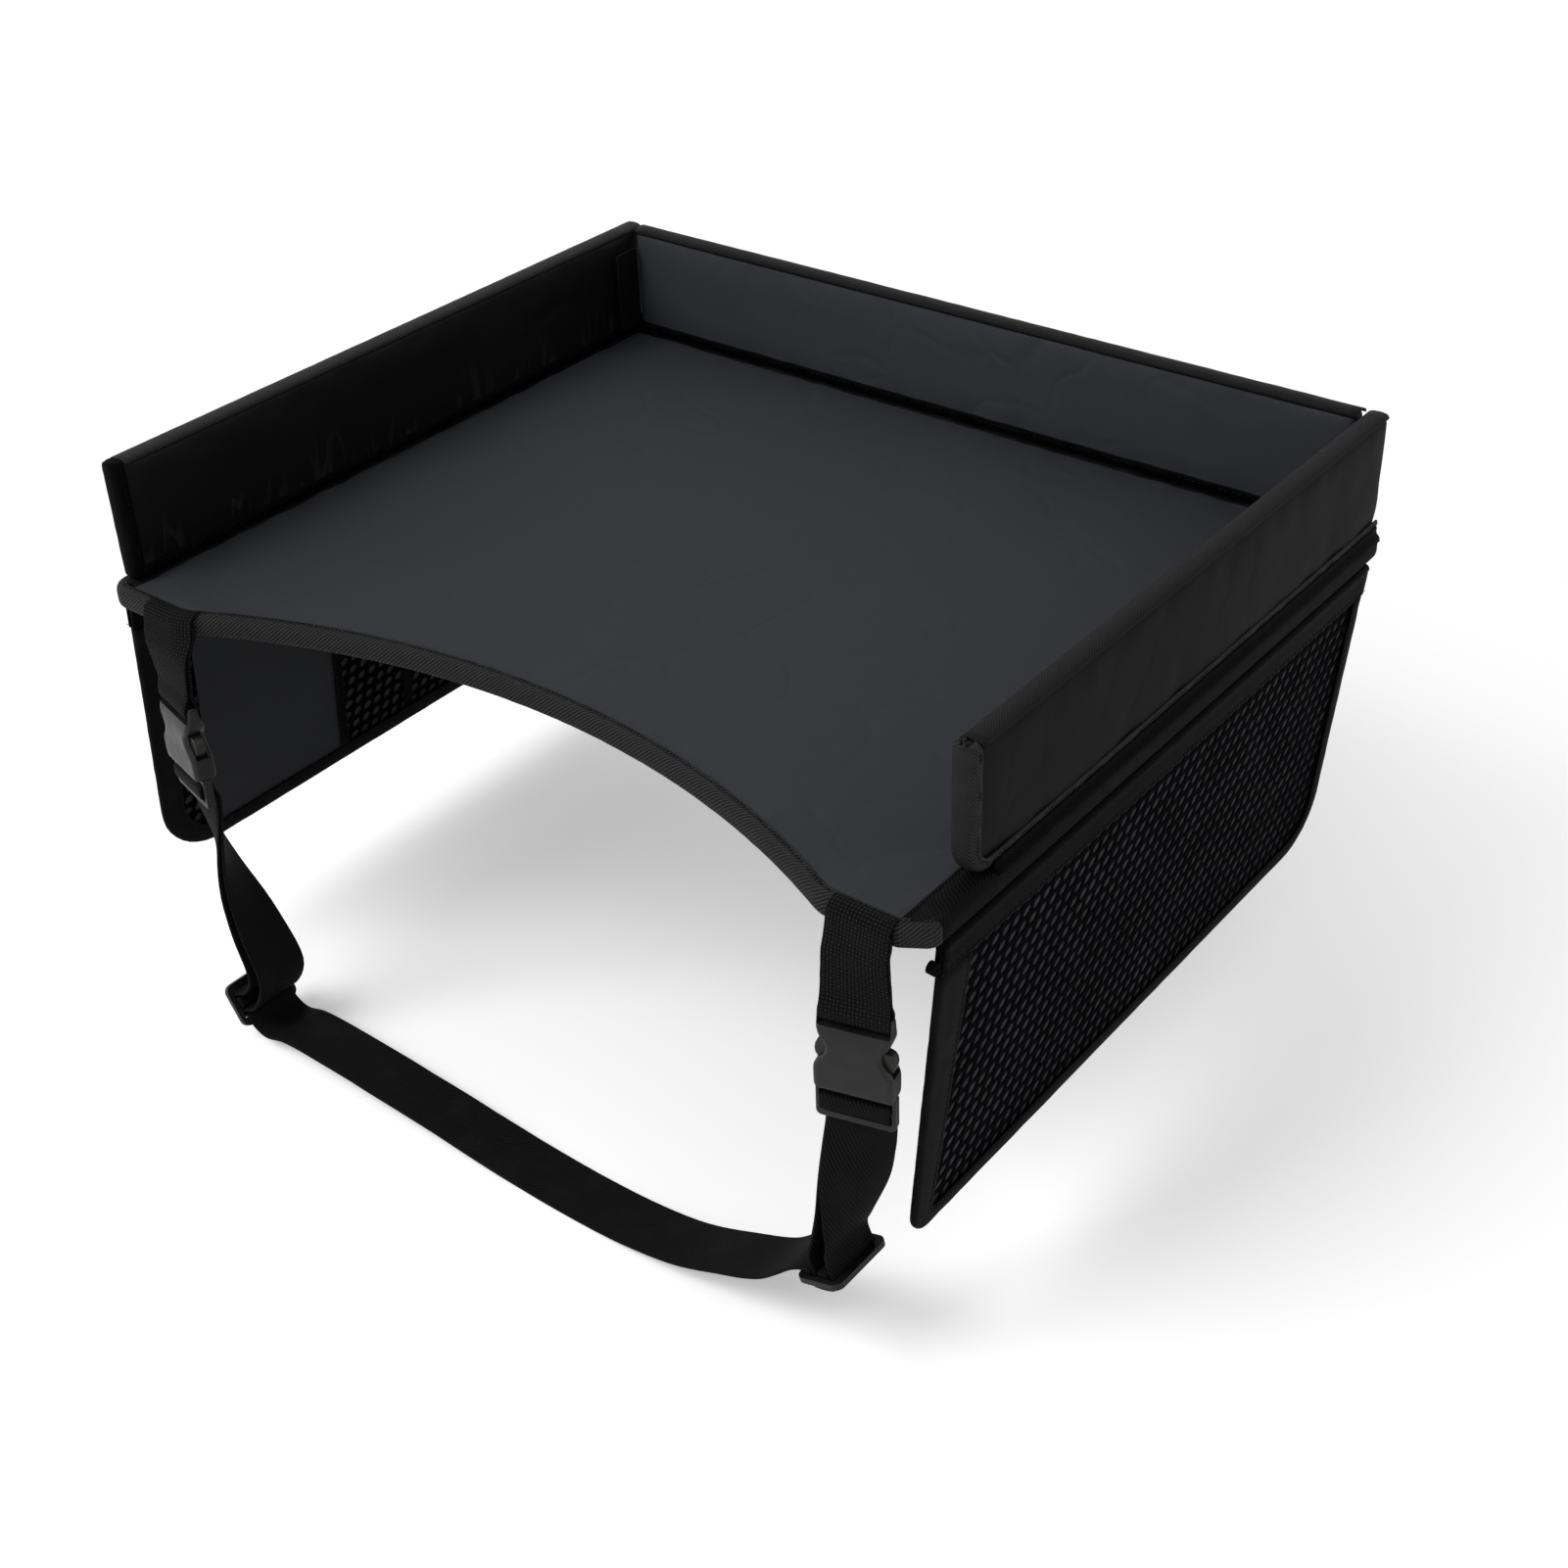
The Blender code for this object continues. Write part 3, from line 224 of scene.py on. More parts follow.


# Smooth coated cloth: a fine grain, soft waves and a crumple of small creases. Its Shade follows the waves'
# height, so the colour is lighter on their crests and darker in their troughs: painted light and shade.
def clothGroup():
    inputs = {"Vector": origin, "Grain scale": 1500.0, "Crease scale": 22.0, "Wave scale": 7.0}
    group, given = startGroup("Coated cloth", inputs)
    where = given["Vector"]
    bend = noiseOn(group, where, given["Crease scale"]).node.outputs["Color"]
    pushed = addNode(group, "ShaderNodeVectorMath", {"operation": "SCALE"}, {0: bend, "Scale": 0.035})
    moved = vectorCalc(group, "ADD", where, pushed.outputs[0])
    crease = ramp(group, cellsOn(group, moved, given["Crease scale"], "DISTANCE_TO_EDGE"), 0.0, 0.1)
    kept = ramp(group, noiseOn(group, where, given["Wave scale"]), 0.4, 0.66)
    wave = noiseOn(group, moved, given["Wave scale"], 4.0)
    return endGroup(
        group,
        Grain=noiseOn(group, where, given["Grain scale"], 3.0),
        Crease=blendValue(group, kept, 1.0, crease),
        Wave=wave,
        Shade=ramp(group, wave, 0.3, 0.7),
    )


# Lint and dust: a few pale specks, in patches.
def lintGroup():
    group, given = startGroup("Lint", {"Vector": origin, "Scale": 260.0, "Amount": 0.5})
    dots = ramp(group, cellsOn(group, given["Vector"], given["Scale"]), 0.05, 0.14, 1.0, 0.0)
    patch = ramp(group, noiseOn(group, given["Vector"], 30.0, 3.0), 0.52, 0.72)
    mask = calc(group, "MULTIPLY", calc(group, "MULTIPLY", dots, patch), given["Amount"])
    return endGroup(group, Mask=mask)


# Moulded plastic: a spark-eroded grain and faint flow marks.
def mouldedGroup():
    group, given = startGroup("Moulded grain", {"Vector": origin, "Grain scale": 2600.0})
    flow = noiseOn(group, given["Vector"], 90.0, 4.0, 1.2)
    return endGroup(
        group,
        Height=noiseOn(group, given["Vector"], given["Grain scale"]),
        Shade=ramp(group, flow, 0.3, 0.7),
        Gloss=ramp(group, flow, 0.35, 0.65),
    )


twill = twillGroup()
basket = basketGroup()
coated = clothGroup()
lint = lintGroup()
moulded = mouldedGroup()
print("shared patterns ready")


# Materials. A recipe holds a finish's colours, roughness, gloss and depths of relief.
def startMaterial(name, recipe):
    material = bpy.data.materials.new(name)
    material.use_nodes = True
    tree = material.node_tree
    shader = tree.nodes["Principled BSDF"]
    plugIn(tree, shader, {"Specular IOR Level": recipe["gloss"], "Roughness": recipe["roughness"]})
    return material, tree, shader


def whereOn(tree, layer=None):
    if layer:
        return addNode(tree, "ShaderNodeUVMap", {"uv_map": layer}).outputs["UV"]
    return addNode(tree, "ShaderNodeTexCoord").outputs["Object"]


def finishMaterial(tree, shader, recipe, colour, heights, where):
    specks = useGroup(tree, lint, {"Vector": where, "Amount": recipe["lint"]})
    plugIn(tree, shader, {"Base Color": blendColour(tree, specks["Mask"], colour, recipe["lintColour"])})
    below = {}
    for height, depth in heights:
        below.update({"Height": height, "Distance": depth, "Strength": 1.0})
        below = {"Normal": addNode(tree, "ShaderNodeBump", inputs=below).outputs["Normal"]}
    plugIn(tree, shader, below)


def puckers(tree, recipe, seamLayer):
    # Short creases that run away from a seam, as one mask for their bumps and for their painted shading. Its
    # map gives the place along it and the distance from it.
    x, y, z = partsOf(tree, whereOn(tree, seamLayer))
    line = vectorOf(tree, x, calc(tree, "MULTIPLY", y, 0.15))
    scale = 1.0 / recipe["puckerPitch"]
    offset = calc(tree, "ABSOLUTE", calc(tree, "SUBTRACT", noiseOn(tree, line, scale, 1.0), 0.5))
    fold = ramp(tree, offset, 0.0, recipe["puckerWidth"], 1.0, 0.0)
    share = ramp(tree, noiseOn(tree, line, scale * 0.4, 0.0), 0.35, 0.65, 0.2, 1.0)
    reach = calc(tree, "MULTIPLY", share, recipe["puckerReach"])
    fade = calc(tree, "SUBTRACT", 1.0, calc(tree, "DIVIDE", y, reach), clamp=True)
    return calc(tree, "MULTIPLY", fold, fade)


def coatedCloth(name, recipe, seamLayer=None):
    material, tree, shader = startMaterial(name, recipe)
    where = whereOn(tree)
    inputs = {"Vector": where, "Crease scale": recipe["creaseScale"], "Wave scale": recipe["waveScale"]}
    made = useGroup(tree, coated, inputs)
    # Painted light and shade: lighter on the waves' crests, darker in their troughs.
    colour = blendColour(tree, made["Shade"], recipe["dark"], recipe["light"])
    grain = calc(tree, "MULTIPLY", ramp(tree, made["Grain"], 0.3, 0.7), 0.35)
    colour = blendColour(tree, grain, colour, recipe["grainColour"])
    heights = [(made[form], recipe[form.lower() + "Depth"]) for form in ("Wave", "Crease", "Grain")]
    if seamLayer:
        pucker = puckers(tree, recipe, seamLayer)
        # The creases also tint the colour: painted shade in the tabletop's creases and a painted highlight
        # along the black wall cloth's creases.
        paintedCreaseShading = calc(tree, "MULTIPLY", pucker, recipe["puckerPaintedShadingShare"])
        colour = blendColour(tree, paintedCreaseShading, colour, recipe["puckerPaintedShadingColour"])
        heights.insert(1, (pucker, recipe["puckerDepth"]))
    rough = ramp(tree, made["Wave"], 0.3, 0.7, recipe["roughness"] - 0.05, recipe["roughness"] + 0.05)
    plugIn(tree, shader, {"Roughness": rough})
    finishMaterial(tree, shader, recipe, colour, heights, where)
    return material


def wovenTape(name, recipe, weave=twill):
    material, tree, shader = startMaterial(name, recipe)
    made = useGroup(tree, weave, {"Vector": whereOn(tree, "cloth"), **recipe["weave"]})
    where = whereOn(tree)
    worn = ramp(tree, noiseOn(tree, where, 70.0, 3.0), 0.45, 0.75, 0.0, 0.35)
    # Painted shade and highlight: the colour runs from dark in the weave's hollows to light on its crowns.
    colour = blendColour(tree, made["Shade"], recipe["dark"], recipe["light"])
    colour = blendColour(tree, worn, colour, recipe["wornColour"])
    finishMaterial(tree, shader, recipe, colour, [(made["Height"], recipe["depth"])], where)
    return material


def mouldedPlastic(name, **changes):
    recipe = dict(plasticRecipe, **changes)
    material, tree, shader = startMaterial(name, recipe)
    where = whereOn(tree)
    made = useGroup(tree, moulded, {"Vector": where, "Grain scale": recipe["grainScale"]})
    colour = blendColour(tree, made["Shade"], recipe["dark"], recipe["light"])
    rough = ramp(tree, made["Gloss"], 0.0, 1.0, recipe["roughness"] - 0.04, recipe["roughness"] + 0.06)
    plugIn(tree, shader, {"Roughness": rough})
    finishMaterial(tree, shader, recipe, colour, [(made["Height"], recipe["depth"])], where)
    return material


def grey(level):
    return (level, level, level)


clothRecipe = {
    "dark": (0.029, 0.03, 0.0345),
    "light": (0.0335, 0.0346, 0.0395),
    "grainColour": (0.0385, 0.0398, 0.045),
    "roughness": 0.62,
    "gloss": 0.06,
    "creaseScale": 26.0,
    "creaseDepth": 0.00022,
    "waveScale": 9.0,
    "waveDepth": 0.0016,
    "grainDepth": 0.00003,
    "puckerPitch": 0.006,
    "puckerReach": 0.012,
    "puckerWidth": 0.08,
    "puckerDepth": 0.0001,
    # Painted shade: the tabletop's creases by the seams are tinted darker.
    "puckerPaintedShadingShare": 0.3,
    "puckerPaintedShadingColour": (0.024, 0.025, 0.029),
    "lint": 0.25,
    "lintColour": (0.09, 0.09, 0.095),
}
tabletopCloth = coatedCloth("tabletop cloth", clothRecipe, "seam")
backRecipe = dict(clothRecipe, dark=(0.033, 0.0342, 0.0395), light=(0.0385, 0.04, 0.0455))
backRecipe.update(grainColour=(0.043, 0.0445, 0.05), waveDepth=0.0022, gloss=0.08)
backWallCloth = coatedCloth("back wall cloth", backRecipe)
outerRecipe = dict(clothRecipe, dark=(0.006, 0.0061, 0.0069), light=(0.0075, 0.0076, 0.0085))
outerRecipe.update(grainColour=(0.0098, 0.0099, 0.0108), gloss=0.035, roughness=0.5)
outerRecipe.update(waveDepth=0.0012, creaseDepth=0.00008, lintColour=(0.05, 0.05, 0.052))
outerCloth = coatedCloth("outer wall cloth", outerRecipe)
blackRecipe = {
    "dark": (0.0022, 0.0022, 0.0023),
    "light": (0.0032, 0.0032, 0.0033),
    "grainColour": (0.0042, 0.0042, 0.0044),
    "roughness": 0.52,
    "gloss": 0.11,
    "creaseScale": 16.0,
    "creaseDepth": 0.00025,
    "waveScale": 9.0,
    "waveDepth": 0.0018,
    "grainDepth": 0.00003,
    "puckerPitch": 0.009,
    "puckerReach": 0.026,
    "puckerWidth": 0.05,
    "puckerDepth": 0.0013,
    # Painted highlight: the black cloth's creases by the seams are tinted lighter.
    "puckerPaintedShadingShare": 0.7,
    "puckerPaintedShadingColour": (0.015, 0.015, 0.0155),
    "lint": 0.18,
    "lintColour": grey(0.02),
}
blackCloth = coatedCloth("black wall cloth", blackRecipe, "seam")
tabCloth = coatedCloth("black closure cloth", blackRecipe)
pocketRecipe = dict(outerRecipe, dark=(0.025, 0.0258, 0.028), light=(0.03, 0.031, 0.0335))
pocketRecipe.update(grainColour=(0.034, 0.035, 0.0378), gloss=0.05, waveDepth=0.0016)
pocketCloth = coatedCloth("pocket cloth", pocketRecipe)
liningRecipe = dict(outerRecipe, dark=(0.029, 0.0304, 0.034), light=(0.036, 0.0375, 0.0415))
liningRecipe.update(grainColour=(0.043, 0.0446, 0.049), gloss=0.05)
liningCloth = coatedCloth("flap lining cloth", liningRecipe)
underRecipe = dict(blackRecipe, dark=(0.006, 0.006, 0.0062), light=(0.009, 0.009, 0.0093))
underCloth = coatedCloth("underside cloth", underRecipe)


def ribs(pitch, slant, threadPitch):
    return {"Rib pitch": pitch, "Slant": slant, "Thread pitch": threadPitch}


tapeRecipe = {
    "dark": grey(0.0015),
    "light": grey(0.03),
    "wornColour": (0.03, 0.03, 0.0298),
    "roughness": 0.55,
    "gloss": 0.08,
    "depth": 0.00024,
    "weave": ribs(0.00125, 0.9, 0.0007),
    "lint": 0.2,
    "lintColour": grey(0.06),
}
wallTapeCloth = wovenTape("wall edge tape", dict(tapeRecipe, light=grey(0.042)))
rimTape = wovenTape("rim tape", tapeRecipe)
smoothRecipe = dict(tapeRecipe, dark=grey(0.0012), light=grey(0.015), wornColour=grey(0.015))
smoothRecipe.update(gloss=0.05, depth=0.00016, weave=ribs(0.0011, 0.7, 0.0006))
frontRecipe = dict(smoothRecipe, light=grey(0.048), depth=0.0006, gloss=0.08)
frontRecipe.update(weave=ribs(0.0016, 0.9, 0.0009))
frontTapeCloth = wovenTape("front edge tape", frontRecipe)
edgeTape = wovenTape("table edge tape", dict(frontRecipe, light=grey(0.007), depth=0.0002, gloss=0.025))
flapTape = wovenTape("flap tape", dict(smoothRecipe, light=(0.0085, 0.0085, 0.0083), gloss=0.03))
darkRecipe = dict(smoothRecipe, light=(0.0026, 0.0026, 0.0024), wornColour=(0.0035, 0.0035, 0.0034))
darkRecipe.update(gloss=0.02)
darkTape = wovenTape("dark tape", darkRecipe)
darkRim = wovenTape("dark rim tape", dict(darkRecipe, light=(0.015, 0.015, 0.0155), gloss=0.06))
strapRecipe = dict(tapeRecipe, dark=grey(0.0016), light=grey(0.0115), wornColour=grey(0.012))
strapRecipe.update(roughness=0.62, gloss=0.04, depth=0.00016, weave=ribs(0.0015, 0.55, 0.0008))
strapWebbing = wovenTape("strap webbing", strapRecipe)
tabRecipe = dict(strapRecipe, dark=grey(0.0002), light=grey(0.022), depth=0.00095)
tabRecipe.update(weave={"Across pitch": 0.00135, "Along pitch": 0.00135})
tabWebbing = wovenTape("tab webbing", tabRecipe, basket)

plasticRecipe = {
    "dark": grey(0.008),
    "light": grey(0.0115),
    "roughness": 0.34,
    "gloss": 0.27,
    "grainScale": 2400.0,
    "depth": 0.00002,
    "lint": 0.12,
    "lintColour": grey(0.05),
}
threadFinish = {"dark": grey(0.004), "light": grey(0.012), "roughness": 0.7, "gloss": 0.1}
netFinish = {"dark": (0.0006, 0.0006, 0.001), "light": (0.0016, 0.0016, 0.0023)}
netFinish.update(roughness=0.7, gloss=0.01)
fleeceFinish = {"dark": grey(0.006), "light": grey(0.014), "roughness": 0.85, "gloss": 0.05, "depth": 0.0002}
boardFinish = {"dark": (0.22, 0.19, 0.145), "light": (0.3, 0.26, 0.2), "roughness": 0.8, "gloss": 0.1}
bucklePlastic = mouldedPlastic("buckle plastic")
armPlastic = mouldedPlastic("buckle arm plastic", dark=(0.01, 0.0098, 0.0084), light=(0.018, 0.0176, 0.015))
sliderPlastic = mouldedPlastic("slider plastic", dark=grey(0.005), light=grey(0.0075), roughness=0.3)
hookPlastic = mouldedPlastic("hook tape plastic", roughness=0.5, depth=0.0001)
darkThread = mouldedPlastic("dark thread", **threadFinish)
netCord = mouldedPlastic("net cord", **netFinish, depth=0.00008)
fleeceFibre = mouldedPlastic("loop fleece", **fleeceFinish)
boardFibre = mouldedPlastic("stiff board", **boardFinish, depth=0.00015, grainScale=500.0)
print("materials ready")


# Meshes. A row of points is a list of places; a second map in metres follows the cloth.
def meshPiece(name, points, faces, materials, layers=None, faceMaterials=None, turnOut=True):
    mesh = bpy.data.meshes.new(name)
    mesh.from_pydata([tuple(point) for point in points], [], faces)
    for material in materials:
        mesh.materials.append(material)
    if faceMaterials:
        mesh.polygons.foreach_set("material_index", faceMaterials)
    for label, places in (layers or {}).items():
        layer = mesh.uv_layers.new(name=label)
        corners = [0] * len(mesh.loops)
        mesh.loops.foreach_get("vertex_index", corners)
        layer.data.foreach_set("uv", [value for corner in corners for value in places[corner]])
    if turnOut:
        work = bmesh.new()
        work.from_mesh(mesh)
        bmesh.ops.recalc_face_normals(work, faces=work.faces)
        work.to_mesh(mesh)
        work.free()
    mesh.shade_smooth()
    return addObject(name, mesh)


def ringFaces(ringCount, size):
    faces = []
    for low in range(0, (ringCount - 1) * size, size):
        for index in range(size):
            following = (index + 1) % size
            faces.append((low + index, low + following, low + size + following, low + size + index))
    last = (ringCount - 1) * size
    return faces + [tuple(range(size)), tuple(last + index for index in reversed(range(size)))]


def sweptPiece(name, rings, material):
    middle = len(rings[0]) // 4
    along = 0.0
    places = []
    for index, ring in enumerate(rings):
        if index:
            along += math.dist(ring[middle], rings[index - 1][middle])
        across = 0.0
        for step, point in enumerate(ring):
            if step:
                across += math.dist(point, ring[step - 1])
            places.append((along, across))
    points = [point for ring in rings for point in ring]
    return meshPiece(name, points, ringFaces(len(rings), len(rings[0])), [material], {"cloth": places})


# How far a surface is pushed in and out, at what scale in waves per metre, and from which seed.
unevenness = {
    "front edge": (0.00012, 240.0, 0.0),
    "side edge": (0.00012, 200.0, 3.0),
    "tabletop": (0.0001, 60.0, 5.0),
    "wall": (0.00018, 70.0, 0.0),
    "wall tape": (0.00014, 300.0, 2.0),
    "rim": (0.00012, 260.0, 7.0),
    "flap tape": (0.00016, 160.0, 4.0),
    "hem": (0.00014, 180.0, 6.0),
    "net": (0.00012, 90.0, 8.0),
    "flap cloth": (0.00012, 40.0, 0.0),
    "upright tape": (0.0001, 260.0, 9.0),
    "corner tab": (0.0002, 160.0, 4.0),
    "belt tab": (0.00012, 220.0, 5.0),
    "strap": (0.00016, 55.0, 6.0),
}


def roughen(piece, kind, more=0.0):
    amount, scale, seed = unevenness[kind]
    seed += more
    shift = Vector((seed, seed * 0.7, seed * 1.3))
    places = []
    for vertex in piece.data.vertices:
        places.extend(vertex.co + vertex.normal * noise.noise(vertex.co * scale + shift) * amount)
    piece.data.vertices.foreach_set("co", places)
    piece.data.update()


def addModifier(piece, kind, **settings):
    modifier = piece.modifiers.new(kind.lower(), kind)
    for name, value in settings.items():
        setattr(modifier, name, value)
    return modifier


def bake(piece):
    graph = bpy.context.evaluated_depsgraph_get()
    mesh = bpy.data.meshes.new_from_object(piece.evaluated_get(graph), depsgraph=graph)
    piece.modifiers.clear()
    piece.data = mesh
    return piece


def smoothOnce(piece):
    addModifier(piece, "SUBSURF", levels=1, render_levels=1, boundary_smooth="PRESERVE_CORNERS")
    return bake(piece)


def dress(piece, body, slot, *nodes):
    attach(piece, body)
    if nodes:
        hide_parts(*nodes)


def layTape(name, rings, material, kind, body, *nodes, more=0.0):
    piece = sweptPiece(name, rings, material)
    roughen(piece, kind, more)
    dress(piece, body, "twill_tape", *nodes)


# Places and outlines.
smallest = 0.0004


def evenly(first, last, count):
    return [first + (last - first) * step / count for step in range(count + 1)]


def between(first, last, count):
    return list(zip(*(evenly(start, end, count)[1:-1] for start, end in zip(first, last))))


def mirrored(half):
    # A section's first half, with its last place on the middle line, and then its mirror image.
    return half + [(-across, rise) for across, rise in reversed(half[:-1])]


def arcPoints(centreX, centreY, radius, start, end, steps):
    angles = [math.radians(angle) for angle in evenly(start, end, steps)]
    return [(centreX + radius * math.cos(angle), centreY + radius * math.sin(angle)) for angle in angles]


def cornerPoints(corner, before, after, radius, steps):
    first = Vector(before).normalized()
    turn = first.angle(Vector(after))
    side = Vector((-first.y, first.x))
    centre = Vector(corner) - first * radius * math.tan(turn / 2) + side * radius
    arms = [first * math.sin(angle) - side * math.cos(angle) for angle in evenly(0.0, turn, steps)]
    return [tuple(centre + arm * radius) for arm in arms]


def roundedCorners(low, high, radius, steps):
    # A rectangle between two opposite corners, counterclockwise from its upper right corner.
    points = []
    places = ((high[0], high[1]), (low[0], high[1]), (low[0], low[1]), (high[0], low[1]))
    for quarter, (x, y) in enumerate(places):
        centreX = x - radius if x == high[0] else x + radius
        centreY = y - radius if y == high[1] else y + radius
        points += arcPoints(centreX, centreY, radius, quarter * 90, quarter * 90 + 90, steps)
    return points


def heightAt(run, x):
    for first, second in zip(run, run[1:]):
        if first[0] <= x <= second[0] and second[0] > first[0]:
            return first[1] + (second[1] - first[1]) * (x - first[0]) / (second[0] - first[0])
    return run[0][1] if x < run[0][0] else run[-1][1]


def clamped(value):
    return min(max(value, 0.0), 1.0)


def eased(share):
    return share * share * (3 - 2 * share)


def rounded(distance, reach):
    return math.sqrt(1.0 - (1.0 - clamped(distance / reach)) ** 2)


def spread(low, high, pitch, fine=(0.0, 0.0004, 0.0012, 0.0024, 0.0042)):
    # Places from low to high, closer together near both ends.
    first = [low + step for step in fine]
    last = [high - step for step in reversed(fine)]
    count = max(1, round((last[0] - first[-1]) / pitch))
    return first + evenly(first[-1], last[0], count)[1:-1] + last


# Cloth in two sheets, joined round their border. Padded pieces are then blown up a little as cloth.
def twoSheets(name, places, shares, sidesAt, mapsAt, materials):
    # sidesAt gives the point on each sheet at a place and a share. The two are one along the border.
    points = []
    number = {}
    columns, rows = len(places) - 1, len(shares) - 1
    for column, place in enumerate(places):
        for row, share in enumerate(shares):
            pair = sidesAt(place, share)
            if column in (0, columns) or row in (0, rows):
                pair = [[(first + second) / 2 for first, second in zip(*pair)]]
            number[0, column, row] = len(points)
            number[1, column, row] = len(points) + len(pair) - 1
            points += pair
    faces = []
    sides = []
    for side in (0, 1):
        for column in range(columns):
            for row in range(rows):
                corners = ((column, row), (column + 1, row), (column + 1, row + 1), (column, row + 1))
                square = [number[side, *corner] for corner in corners]
                faces.append(tuple(square if side else reversed(square)))
                sides.append(side if len(materials) > 1 else 0)
    layers = {}
    for (side, column, row), index in number.items():
        for label, spot in mapsAt(places[column], shares[row]).items():
            layers.setdefault(label, [(0.0, 0.0)] * len(points))[index] = spot
    return meshPiece(name, points, faces, materials, layers, sides), number


def nearBorder(number, first, last=2):
    # The points in the first and the last few columns and rows.
    columns, rows = (max(key[axis] for key in number) - last for axis in (1, 2))
    held = []
    for (side, column, row), index in number.items():
        if min(column, row) < first or column > columns or row > rows:
            held.append(index)
    return held


padFrames = 20
padCloth = {
    "quality": 4,
    "mass": 0.25,
    "tension_stiffness": 8.0,
    "compression_stiffness": 8.0,
    "shear_stiffness": 8.0,
    "bending_stiffness": 0.6,
    "vertex_group_mass": "held",
    "use_pressure": True,
}


def inflate(piece, held, look):
    before = [vertex.co.copy() for vertex in piece.data.vertices]
    piece.vertex_groups.new(name="held").add(sorted(set(held)), 1.0, "REPLACE")
    cloth = addModifier(piece, "CLOTH")
    forces = {"uniform_pressure_force": look["pressure"], "shrink_min": -look["slack"]}
    for name, value in {**padCloth, **forces}.items():
        setattr(cloth.settings, name, value)
    cloth.settings.effector_weights.gravity = 0.0
    cloth.collision_settings.use_collision = False
    cloth.point_cache.frame_start = 1
    cloth.point_cache.frame_end = padFrames
    scene = bpy.context.scene
    for number in range(1, padFrames + 1):
        scene.frame_set(number)
    graph = bpy.context.evaluated_depsgraph_get()
    after = [vertex.co.copy() for vertex in piece.evaluated_get(graph).data.vertices]
    piece.modifiers.clear()
    piece.vertex_groups.clear()
    scene.frame_set(1)
    moves = [new - old for old, new in zip(before, after)]
    for vertex, old, move in zip(piece.data.vertices, before, moves):
        if move.length > look["cap"]:
            move = move.normalized() * look["cap"]
        vertex.co = old + move
    piece.data.update()
    largest = max(move.length for move in moves)
    print(piece.name, "swelled by up to", round(largest * 1000, 2), "mm before the cap")


# The table's outline at any distance in from its edge: round the front, and round the sides and back.
tableShape = {
    "halfWidth": 0.2,
    "halfDepth": 0.16,
    "shoulder": 0.007,
    "recessDepth": 0.038,
    "recessReach": 0.1605,
    "recessFillet": 0.018,
    "recessOffset": 0.002,
    "leftCorner": 0.01,
    "rightRun": 0.011,
    "rightEase": 0.006,
    "backLeft": 0.01,
    "backRight": 0.009,
    "thickness": 0.01,
    "tapeGap": 0.0003,
}
frontLine = -(tableShape["halfDepth"] + tableShape["shoulder"])
halfTable = tableShape["thickness"] / 2


def frontRun(inset):
    shape = tableShape
    right = shape["halfWidth"] - inset
    low = frontLine + inset
    corner = max(shape["leftCorner"] - inset, smallest)
    points = arcPoints(corner - right, low + corner, corner, 180, 270, 8)
    reach, depth, middle = shape["recessReach"], shape["recessDepth"], shape["recessOffset"]
    both = (reach**2 + depth**2) / (2 * depth)
    rise = both - depth
    lean = math.degrees(math.atan2(rise, reach))
    fillet = shape["recessFillet"] - inset
    filletY = frontLine + shape["recessFillet"]
    leftFillet = arcPoints(middle - reach, filletY, fillet, 270, 360 - lean, 8)
    points += between(points[-1], leftFillet[0], 6) + leftFillet
    points += arcPoints(middle, filletY - rise, both - fillet, 180 - lean, lean, 84)[1:-1]
    points += arcPoints(middle + reach, filletY, fillet, 180 + lean, 270, 8)
    run, step = shape["rightRun"], shape["shoulder"]
    length = math.hypot(run, step)
    lineX = shape["halfWidth"] - run - inset * step / length
    lineY = frontLine + inset * run / length
    ease = max(shape["rightEase"] - inset, smallest)
    first = cornerPoints((lineX + (low - lineY) * run / step, low), (1.0, 0.0), (run, step), ease, 4)
    second = cornerPoints((right, lineY + (right - lineX) * step / run), (run, step), (0.0, 1.0), ease, 4)
    return points + between(points[-1], first[0], 5) + first + second


def sideBackRun(inset):
    shape = tableShape
    side = shape["halfWidth"] - inset
    back = shape["halfDepth"] - inset
    ends = []
    for index in (-1, 0):
        start = frontRun(min(inset, frontLeg))[index][1] + shape["tapeGap"]
        if inset > frontLeg:
            start = frontLine + frontLeg + 2 * shape["tapeGap"]
        ends.append(start)
    right = max(shape["backRight"] - inset, smallest)
    left = max(shape["backLeft"] - inset, smallest)
    rightCorner = arcPoints(side - right, back - right, right, 0, 90, 8)
    leftCorner = arcPoints(left - side, back - left, left, 90, 180, 8)
    first = (side, ends[0])
    last = (-side, ends[1])
    points = [first] + between(first, rightCorner[0], 44) + rightCorner
    points += between(rightCorner[-1], leftCorner[0], 50) + leftCorner
    return points + between(leftCorner[-1], last, 44) + [last]


# A folded edge tape's section, as pairs of inset and height. Its seam lies in a groove near its legs' ends.
tapeForm = {"ease": 0.0002, "rise": 0.0006, "groove": (0.0012, 0.0017, 0.0022)}


